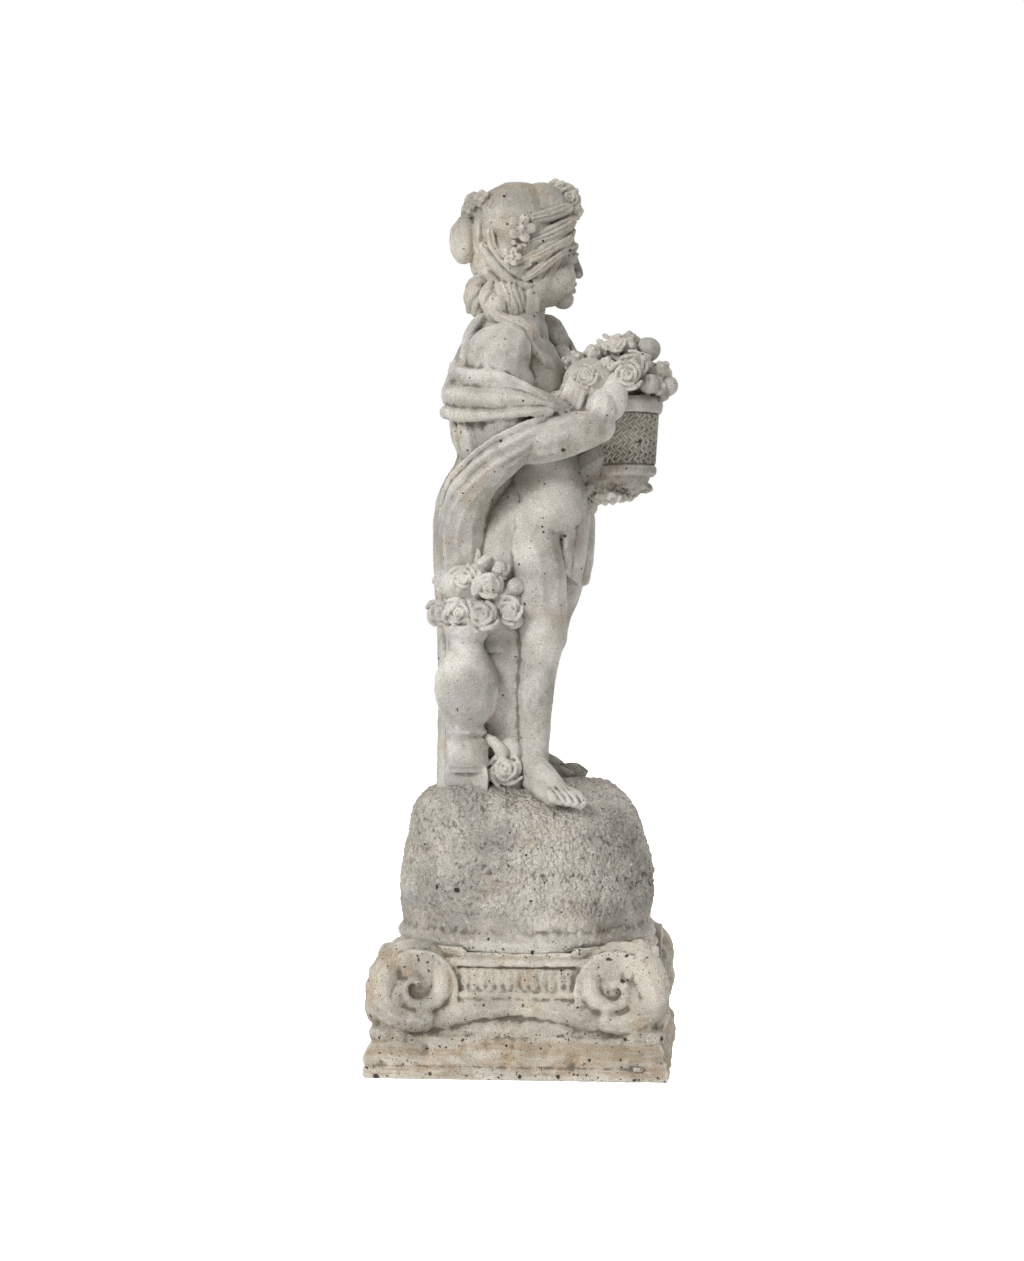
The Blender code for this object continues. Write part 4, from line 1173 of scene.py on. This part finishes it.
# %% Woven wall by Geometry Nodes
def weave_group():
    inputs = [
        ("Low radius", FLOAT, 27.6), ("High radius", FLOAT, 31.0), ("Height", FLOAT, 50.0),
        ("Turns", FLOAT, 4 / 15), ("Cane", FLOAT, 1.6), ("Swell", FLOAT, 1.1),
        ("Crossings", FLOAT, 8.0), ("Canes", "NodeSocketInt", 15), ("Material", MATERIAL, None),
    ]
    group = new_group("Woven wall", inputs, [("Geometry", GEOMETRY)], "GeometryNodeTree")
    w = Wiring(group)
    given = w.add("NodeGroupInput").outputs
    both = w.add("GeometryNodeJoinGeometry")
    for leftward, strand in [(way, n) for way in (False, True) for n in (-1, 0, 1)]:
        way = -1 if leftward else 1
        spiral = w.add(
            "GeometryNodeCurveSpiral", Resolution=120, Rotations=given["Turns"], Height=given["Height"],
        )
        spiral.inputs["Reverse"].default_value = leftward
        w.feed(spiral.inputs["Start Radius"], given["Low radius"])
        w.feed(spiral.inputs["End Radius"], given["High radius"])
        along = w.add("GeometryNodeSplineParameter").outputs["Factor"]
        phase = w.math("ADD", w.math("MULTIPLY", along, given["Crossings"]), strand / 3 * way)
        wave = w.math("MULTIPLY", w.math("COSINE", w.math("MULTIPLY", phase, math.pi)), 1.7 * way)
        wave = w.math("MAXIMUM", w.math("MINIMUM", wave, 1.0), -1.0)
        level = w.vector("MULTIPLY", w.add("GeometryNodeInputPosition").outputs["Position"], (1, 1, 0))
        push = w.combine("ShaderNodeVectorMath", "SCALE", [w.vector("NORMALIZE", level)])
        w.feed(push.inputs["Scale"], w.math("MULTIPLY", wave, given["Swell"]))
        move = w.add("GeometryNodeSetPosition", Geometry=spiral.outputs["Curve"], Offset=push.outputs[0])
        circle = w.add("GeometryNodeCurvePrimitiveCircle", Resolution=8, Radius=given["Cane"])
        tube = w.add("GeometryNodeCurveToMesh", Curve=move.outputs["Geometry"], Fill_Caps=True)
        w.feed(tube.inputs["Profile Curve"], circle.outputs["Curve"])
        points = w.add("GeometryNodePoints", Count=given["Canes"])
        index = w.add("GeometryNodeInputIndex").outputs["Index"]
        share = w.math("DIVIDE", w.math("ADD", index, strand / 3), given["Canes"])
        turn = w.add("ShaderNodeCombineXYZ", Z=w.math("MULTIPLY", share, 2 * math.pi))
        copies = w.add(
            "GeometryNodeInstanceOnPoints", Points=points.outputs["Points"],
            Instance=tube.outputs["Mesh"],
        )
        w.feed(copies.inputs["Rotation"], turn.outputs["Vector"])
        w.feed(both.inputs["Geometry"], copies.outputs["Instances"])
    w.finish(both.outputs["Geometry"], given["Material"])
    return group


canes = through_nodes(bpy.data.meshes.new("empty"), weave_group())
print("the woven wall has", len(canes.polygons), "faces")


# %% Basket, fruit and flowers
BASKET = Matrix.Translation((0, -102, 0))


def basket(clay):
    clay = clay.at(BASKET)
    wall = [
        (309, 0, 0, 28, 28), (313, 0, 0, 31, 31), (319, 0, 0, 30.5, 30.5), (323, 0, 0, 27, 27),
        (345, 0, 0, 27, 27), (371, 0, 0, 29.5, 29.5), (374, 0, 0, 36, 36), (384, 0, 0, 37.5, 37.5),
        (390, 0, 0, 33, 33),
    ]
    clay.stack(wall, sides=64)
    for n in range(40):
        a = 2 * math.pi * n / 40
        x, y = math.cos(a), math.sin(a)
        low, high = a + 0.1, a + 0.12
        clay.score(
            (32 * x, 32 * y, 309), (33 * math.cos(low), 33 * math.sin(low), 322), width=2.0, depth=1.1,
        )
        clay.score(
            (39 * x, 39 * y, 371), (40 * math.cos(high), 40 * math.sin(high), 388), width=2.2,
            depth=1.2,
        )


def fruit(clay):
    heaped = clay.at(BASKET)
    heap = [
        (0, -42, 402, 11.5), (4, -22, 440, 13.5), (-24, -24, 402, 11), (28, -18, 406, 13),
        (14, -6, 446, 11), (18, -36, 416, 11), (-30, 4, 400, 11), (30, 6, 408, 12), (0, 20, 428, 14),
        (14, 12, 438, 13), (0, -24, 410, 18), (0, 2, 412, 26),
    ]
    for x, y, z, r in heap:
        heaped.ball((x, y, z), (r, r, r * 0.95))
        heaped.score((x - 1, y, z + r), (x + 1, y, z + r), width=3.5, depth=2.5)
    lumps = [
        (-20, -16, 424, 12), (-8, -36, 418, 9), (-16, -32, 400, 9), (-10, 8, 446, 9), (-20, 12, 440, 9),
        (-26, 24, 434, 9), (-28, 34, 424, 9), (-16, -2, 440, 10), (-4, -4, 450, 8), (12, 30, 432, 9),
        (16, -30, 398, 8), (-6, -38, 392, 7),
    ]
    for n, (x, y, z, r) in enumerate(lumps):
        blob(heaped, (x, y, z), r, n)
    rose(clay, facing((-33, -110, 420), (-1, -0.25, 0.15)), 14, 4)
    rose(clay, facing((-32, -92, 442), (-0.8, 0.1, 0.6)), 10, 5)
    rose(clay, facing((32, -74, 410), (1, -0.1, 0.2)), 14, 6)
    open_flower(clay, facing((14, -62, 434), (0.5, 0.4, 0.8)), 12)
    for at, direction, length in [
        ((-34, -98, 424), (-1, 0.4, 0.3), 18),
        ((-32, -122, 412), (-1, -0.6, 0.1), 17),
        ((-28, -130, 398), (-1, -1, 0.1), 15),
        ((-34, -84, 436), (-1, 0.4, 0.6), 18),
        ((-20, -84, 450), (-0.4, 0.2, 1), 14),
        ((28, -120, 400), (1, -0.8, 0.1), 16),
    ]:
        leaf(clay, facing(at, direction, 0.8), length)


def puff(clay):
    """Cloth gathered over her right wrist, with a rosette, and blossoms above it."""
    clay.ball((-43, -66, 400), (23, 27, 27))
    rose(clay, facing((-67, -64, 406), (-1, 0.1, 0.15)), 11, 4)
    rose(clay, facing((-50, -104, 408), (-1, -0.2, 0.15)), 15, 6)
    above = [(-42, -54, 426, 9), (-40, -70, 432, 9), (-46, -84, 420, 8), (-30, -46, 424, 8)]
    for n, (x, y, z, r) in enumerate(above):
        blob(clay, (x, y, z), r, n)
    leaf(clay, facing((-60, -80, 404), (-1, -0.3, 0.2), 0.3), 18)
    leaf(clay, facing((-58, -48, 408), (-1, 0.3, 0.3), -0.8), 18)


def strut(clay):
    """The ragged stone left under the basket, which ties it to her body."""
    clay.roll((0, -52, 392, 22), (0, -66, 404, 22), (0, -80, 414, 20))
    clay.roll((0, -102, 314, 25), (0, -84, 306, 22), (0, -66, 297, 21), (0, -54, 280, 14))
    clay.roll((0, -46, 306, 24), (0, -64, 320, 22), (0, -86, 332, 20))
    for n in range(16):
        along = (n * GOLDEN) % 1
        a = 2.4 * n
        at = (20 * math.cos(a), -118 + 62 * along, 302 - 26 * along + 6 * math.sin(a))
        size = 5 + 4 * ((n * 0.37) % 1)
        clay.ball(at, (size, size * 1.5, size * 0.7), (0, 0, 40 * n))


clay = Clay(FIGURE)
basket(clay)
fruit(clay)
puff(clay)
strut(clay)


def basket_skin(mesh):
    def ragged(points):
        under = np.clip((0.590 - points[:, 2]) / 0.006, 0, 1)
        return 0.3 + 4 * under * np.clip((points[:, 1] + 0.136) / 0.01, 0, 1)

    roughen(mesh, 0.0011, 90, ragged, octaves=4)


basket_piece = cast("basket_of_fruit", clay, 0.0009, 2, 140000, ["statue"], basket_skin)

# %% [markdown]
# ## The woven wall
#
# The cane is finer than the basket's clay can hold, so the woven wall stays a mesh of its own, set round
# the basket. Its hollows need no search: how far a point lies from the basket's axis says how deep it sits
# in the weave, and the material darkens the deep parts as painted shade between the canes.

# %% The woven wall as a piece
canes.transform(FIGURE @ Matrix.Translation((0, -102, 322)))
points, _ = read_points(canes)
CANE_BACK, CANE_DEPTH = 27.5 * MM, 0.0045
depth = 1 - (np.hypot(points[:, 0], points[:, 1] + 102 * MM) - CANE_BACK) / CANE_DEPTH
# The depth is stored as hollow and cavity, which the stone material turns into painted shade between the
# canes.
for name in ("hollow", "cavity"):
    marks = canes.attributes.new(name, "FLOAT", "POINT")
    marks.data.foreach_set("value", np.clip(depth - 0.25, 0, 1).astype(np.float32))
canes.shade_smooth()
weave = bpy.data.objects.new("woven_wall", canes)
bpy.context.scene.collection.objects.link(weave)
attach(weave, "root")
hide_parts("statue")
print(
    "the woven wall stands", round(float(points[:, 2].min()), 3), "to",
    round(float(points[:, 2].max()), 3), "m",
)

# %% [markdown]
# ## The urn of roses
#
# Behind her right leg stands an egg-shaped urn on a square block, heaped with roses. The urn is turned, so
# it is a stack of circles, and a single rose lies against its foot.

# %% Urn
def urn(clay):
    clay = clay.at(Matrix.Translation((-68, 55, 0)))
    profile = [
        (16, 22), (40, 21), (44, 17), (47, 17), (50, 20), (54, 18), (57, 18), (62, 22), (72, 28), (84, 31),
        (96, 32), (108, 31), (120, 26), (130, 19.5), (136, 17), (141, 17), (148, 22), (156, 24),
    ]
    clay.stack([(z, 0, 0, r, r) for z, r in profile], sides=64)
    clay.stack(
        [(-24, 4, 0, 19, 23), (8, 4, 0, 18, 22), (14, 4, 0, 17, 21), (18, 4, 0, 15, 18)], square=True,
    )
    clay.stack([(10, 0, 0, 21, 22), (24, 0, 0, 18, 19), (44, 0, 0, 16, 17)])


def urn_roses(clay):
    clay.ball((-60, 52, 166), (28, 36, 20))
    clay.ball((-54, 56, 200), (24, 30, 26))
    clay.ball((-56, 22, 182), (20, 22, 22))
    blooms = [
        (-86, 38, 166, 15), (-76, 12, 172, 13), (-88, 62, 170, 14), (-74, 82, 170, 13), (-82, 54, 154, 12),
        (-80, 30, 196, 12), (-78, 58, 204, 13), (-62, 78, 202, 12), (-70, 20, 212, 9), (-66, 52, 224, 11),
    ]
    for n, (x, y, z, radius) in enumerate(blooms):
        direction = (-1, 0.35 * math.sin(n * 2.1), 0.35 * math.cos(n * 1.7))
        rose(clay, facing((x, y, z), direction), radius, n)
    leaves = [
        (-84, 46, 186), (-82, 22, 188), (-76, 44, 214), (-74, 68, 190), (-82, 48, 158), (-72, 30, 228),
    ]
    for n, (x, y, z) in enumerate(leaves):
        leaf(clay, facing((x, y, z), (-1, 0.2 * math.sin(n), 0.3), 1.7 * n), 18)
    for n, (x, y, z) in enumerate([(-66, 6, 196), (-64, 8, 162), (-60, 66, 222)]):
        clay.ball((x, y, z), (8, 10, 9), (0, 20 * n, 30))
    rose(clay, facing((-68, 16, 12), (-1, -0.15, 0.25)), 16, 9)
    clay.roll((-52, 12, 34, 11), (-54, 14, 0, 14), (-54, 14, -20, 14))
    clay.roll((-66, 20, 30, 7), (-68, 26, 38, 6), (-66, 34, 42, 6))


clay = Clay(FIGURE)
urn(clay)
urn_roses(clay)
urn_piece = cast(
    "urn_of_roses", clay, 0.0010, 4, 105000, ["statue"], lambda mesh: roughen(
        mesh, 0.0010, 80,
    )
)

# %% [markdown]
# ## Stone
#
# Weathered cast stone has several looks laid over each other: a pale warm grey with broad clouds, fine
# sand, air pits painted near-black as the shade inside them, dirt with painted shade in the hollows, worn
# pale edges, ochre where iron has bled, rust brown with painted shade in the deeper recesses, and green
# where it stays damp. Each effect is a node group that gives a mask or a value, and the material mixes them.

# %% Air pits
def pits_group():
    group = new_group(
        "Air pits",
        [("Vector", "NodeSocketVector", None), ("Scale", FLOAT, 90.0), ("Amount", FLOAT, 0.2)],
        [("Mask", "NodeSocketFloat")],
    )
    w = Wiring(group)
    inputs, output = w.add("NodeGroupInput"), w.add("NodeGroupOutput")
    wobble = w.add("ShaderNodeTexNoise", Vector=inputs.outputs["Vector"], Scale=260.0, Detail=2.0)
    shift = w.vector(
        "MULTIPLY_ADD", wobble.outputs["Color"], (0.004, 0.004, 0.004), inputs.outputs["Vector"],
    )
    cells = w.add("ShaderNodeTexVoronoi", Vector=shift, Scale=inputs.outputs["Scale"])
    pick = w.add("ShaderNodeSeparateColor", Color=cells.outputs["Color"])
    chosen = w.math("LESS_THAN", pick.outputs[0], inputs.outputs["Amount"])
    size = w.math("MULTIPLY_ADD", pick.outputs[1], 0.17, 0.06)
    inside = w.span(
        cells.outputs["Distance"], w.math("MULTIPLY", size, 1.25), w.math("MULTIPLY", size, 0.8),
    )
    w.feed(output.inputs["Mask"], w.math("MULTIPLY", inside, chosen))
    return group


# %% Clouds, sand and weather
def weather_group():
    group = new_group(
        "Weather",
        [("Vector", "NodeSocketVector", None)],
        [(name, "NodeSocketFloat") for name in ("Clouds", "Sand", "Hollow", "Edge", "Cavity")],
    )
    w = Wiring(group)
    inputs, output = w.add("NodeGroupInput"), w.add("NodeGroupOutput")
    vector = inputs.outputs["Vector"]
    # The hollow and cavity masks darken the stone in creases and recesses, as dirt and rust stains and as
    # painted shade together.
    hollow = w.add("ShaderNodeAttribute")
    hollow.attribute_name = "hollow"
    cavity = w.add("ShaderNodeAttribute")
    cavity.attribute_name = "cavity"
    uneven = w.noise(vector, 60.0, 4.0, 0.6)
    w.feed(output.inputs["Clouds"], w.noise(vector, 14.0, 5.0, 0.6))
    w.feed(output.inputs["Sand"], w.noise(vector, 900.0, 3.0, 0.7))
    low = w.math("MULTIPLY_ADD", uneven, -0.3, 0.25)
    w.feed(output.inputs["Hollow"], w.span(hollow.outputs["Fac"], low, w.math("ADD", low, 0.55)))
    w.feed(output.inputs["Edge"], w.span(w.math("MULTIPLY", hollow.outputs["Fac"], -1.0), 0.15, 0.8))
    w.feed(
        output.inputs["Cavity"],
        w.span(cavity.outputs["Fac"], w.math("ADD", low, -0.05), w.math("ADD", low, 0.7)),
    )
    return group


PITS, WEATHER = pits_group(), weather_group()
print("node groups:", PITS.name, "and", WEATHER.name)


# %% Stone material
def stone(name, base, ochre=0.25, moss=0.0, pits=0.10, seam=None, bump=0.6, pebbles=0.0, foot=None):
    material = bpy.data.materials.new(name)
    material.use_nodes = True
    w = Wiring(material.node_tree)
    shader = material.node_tree.nodes["Principled BSDF"]
    shader.inputs["Specular IOR Level"].default_value = 0.2
    place = w.add("ShaderNodeTexCoord").outputs["Object"]
    weather = w.tree.nodes.new("ShaderNodeGroup")
    weather.node_tree = WEATHER
    w.feed(weather.inputs["Vector"], place)
    get = weather.outputs
    dark = [c * 0.70 for c in base[:3]] + [1]
    light = [min(1, c * 1.22) for c in base[:3]] + [1]
    colour = w.blend(w.span(get["Clouds"], 0.36, 0.64), dark, light)
    stains = w.math("MULTIPLY", w.span(w.noise(place, 26.0, 7.0, 0.7), 0.50, 0.66), ochre)
    colour = w.blend(stains, colour, (0.36, 0.25, 0.14, 1))
    up = w.add("ShaderNodeSeparateXYZ", Vector=place).outputs["Z"]
    if foot:
        bands = w.vector("MULTIPLY", place, (0.35, 0.35, 4.0))
        patchy = w.span(w.noise(bands, 30.0, 6.0, 0.7), 0.42, 0.60)
        low = w.math("MULTIPLY", w.span(up, foot, foot * 0.6), patchy)
        colour = w.blend(w.math("MULTIPLY", low, 0.55), colour, (0.33, 0.225, 0.125, 1))
    worn = w.math("MULTIPLY", get["Edge"], 0.5)
    colour = w.blend(worn, colour, (0.70, 0.67, 0.61, 1))
    # Painted shade with rust: large recesses are darkened brown, partly rust stain, partly the shade that
    # falls in them.
    rust_and_shade = w.math("MULTIPLY", get["Cavity"], 0.25 + 0.6 * ochre)
    colour = w.blend(rust_and_shade, colour, (0.23, 0.175, 0.11, 1))
    # Painted shade with dirt: small creases and hollows turn near-black, partly dirt, partly the shade that
    # falls in them.
    dirt_and_shade = w.math("MULTIPLY", get["Hollow"], 0.72)
    colour = w.blend(dirt_and_shade, colour, (0.105, 0.090, 0.070, 1))
    if moss:
        damp = w.math("MULTIPLY", w.span(w.noise(place, 22.0, 4.0), 0.45, 0.62), moss)
        colour = w.blend(damp, colour, (0.24, 0.23, 0.15, 1))
    grain = w.span(get["Sand"], 0.30, 0.70, 0.70, 1.26)
    shade = w.add("ShaderNodeCombineColor", Red=grain, Green=grain, Blue=grain).outputs[0]
    colour = w.blend(1.0, colour, shade, "MULTIPLY")
    height = w.math("MULTIPLY", get["Sand"], 0.45)
    height = w.math("ADD", height, w.math("MULTIPLY", w.noise(place, 260.0, 4.0, 0.65), 0.9))
    if pebbles:
        drift = w.add("ShaderNodeTexNoise", Vector=place, Scale=130.0, Detail=3.0)
        warped = w.vector("MULTIPLY_ADD", drift.outputs["Color"], (0.009, 0.009, 0.009), place)
        cells = w.add("ShaderNodeTexVoronoi", Vector=warped, Scale=210.0).outputs["Distance"]
        rocky = w.span(up, 0.142, 0.165)
        lumps = w.math("MULTIPLY", w.math("SUBTRACT", 1.0, w.span(cells, 0.0, 0.75)), rocky)
        height = w.math("ADD", height, w.math("MULTIPLY", lumps, pebbles))
        # Painted shade: the gaps between the pebbles are darkened as the shade that falls between them.
        painted_gap_shade = w.math("MULTIPLY", w.math("MULTIPLY", w.span(cells, 0.45, 0.85), rocky), 0.25)
        colour = w.blend(painted_gap_shade, colour, (0.20, 0.17, 0.13, 1))
    hole = None
    for scale, amount in ((80.0, pits), (170.0, pits * 2.0), (330.0, pits * 2.6)):
        spots = w.tree.nodes.new("ShaderNodeGroup")
        spots.node_tree = PITS
        w.feed(spots.inputs["Vector"], place)
        spots.inputs["Scale"].default_value = scale
        spots.inputs["Amount"].default_value = amount
        if seam:
            near = 0.0
            for level in seam:
                away = w.math("ABSOLUTE", w.math("SUBTRACT", up, level))
                near = w.math("MAXIMUM", w.span(away, 0.006, 0.001, 0.0, 0.9), near)
            w.feed(spots.inputs["Amount"], w.math("ADD", near, amount))
        hole = spots.outputs["Mask"] if hole is None else w.math("MAXIMUM", hole, spots.outputs["Mask"])
    # Painted shade: each air pit is painted near-black as the shade inside the hole, and the same mask sinks
    # it in the bump.
    colour = w.blend(w.math("MULTIPLY", hole, 0.92), colour, (0.030, 0.027, 0.023, 1))
    height = w.math("SUBTRACT", height, w.math("MULTIPLY", hole, 2.0))
    dent = w.add("ShaderNodeBump", Height=height, Strength=bump, Distance=0.0014)
    w.feed(shader.inputs["Normal"], dent.outputs["Normal"])
    w.feed(shader.inputs["Base Color"], colour)
    w.feed(shader.inputs["Roughness"], w.span(get["Sand"], 0.2, 0.8, 0.86, 0.97))
    return material


finishes = {
    capital: stone(
        "stone of the capital", (0.50, 0.46, 0.39), ochre=0.55, pits=0.14, seam=(0.004, 0.0405, 0.121),
        foot=0.05,
    ),
    rock: stone(
        "stone of the rock", (0.54, 0.505, 0.45), ochre=0.30, pits=0.05, seam=(0.1235,), bump=0.95,
        pebbles=2.0,
    ),
    figure: stone("stone of the figure", (0.50, 0.475, 0.435), ochre=0.30, moss=0.25, pits=0.05),
    head: stone("stone of the head", (0.46, 0.43, 0.375), ochre=0.45, pits=0.07),
    basket_piece: stone("stone of the basket", (0.45, 0.425, 0.38), ochre=0.25, pits=0.06),
    weave: stone("stone of the weave", (0.40, 0.375, 0.32), ochre=0.25, pits=0.03),
    urn_piece: stone("stone of the urn", (0.57, 0.545, 0.50), ochre=0.3, moss=0.15, pits=0.05),
}
for piece, material in finishes.items():
    piece.data.materials.clear()
    piece.data.materials.append(material)
print(len(finishes), "finishes")

# %% [markdown]
# ## Floor and light
#
# The photo was taken in soft light against white. Three lamps give the stone its shading, a bright even sky
# fills the shadows, and the white floor takes a faint shadow under the slab. To the camera, floor and sky
# glow alike, so no horizon shows.

# %% Floor and light
def floor(size=12.0):
    mesh = bpy.data.meshes.new("floor")
    work = bmesh.new()
    bmesh.ops.create_grid(work, x_segments=1, y_segments=1, size=size)
    work.to_mesh(mesh)
    work.free()
    obj = bpy.data.objects.new("floor", mesh)
    bpy.context.scene.collection.objects.link(obj)
    material = bpy.data.materials.new("pale floor")
    material.use_nodes = True
    shader = material.node_tree.nodes["Principled BSDF"]
    shader.inputs["Base Color"].default_value = (0.95, 0.95, 0.95, 1)
    shader.inputs["Emission Color"].default_value = (1, 1, 1, 1)
    w = Wiring(material.node_tree)
    seen = w.add("ShaderNodeLightPath").outputs["Is Camera Ray"]
    w.feed(shader.inputs["Emission Strength"], w.math("MULTIPLY_ADD", seen, 0.75, 0.25))
    shader.inputs["Roughness"].default_value = 1.0
    mesh.materials.append(material)
    return obj


def lamp(name, at, target, size, power):
    data = bpy.data.lights.new(name, "AREA")
    data.size = size
    data.energy = power
    obj = bpy.data.objects.new(name, data)
    bpy.context.scene.collection.objects.link(obj)
    obj.location = at
    obj.rotation_euler = (Vector(target) - Vector(at)).to_track_quat("-Z", "Y").to_euler()


floor()
lamp("high soft lamp", (-2.8, 1.5, 2.5), (0, 0, 0.45), 1.1, 100)
lamp("overhead lamp", (-0.3, 0.2, 3.6), (0, 0, 0.4), 1.6, 22)
lamp("far lamp", (2.6, -1.9, 2.2), (0, 0, 0.45), 1.6, 62)
world = bpy.data.worlds.new("sky")
world.use_nodes = True
world.node_tree.nodes["Background"].inputs["Color"].default_value = (1, 1, 1, 1)
w = Wiring(world.node_tree)
seen = w.add("ShaderNodeLightPath").outputs["Is Camera Ray"]
w.feed(world.node_tree.nodes["Background"].inputs["Strength"], w.math("MULTIPLY_ADD", seen, 0.75, 0.25))
bpy.context.scene.world = world
bpy.context.scene.view_settings.view_transform = "Standard"
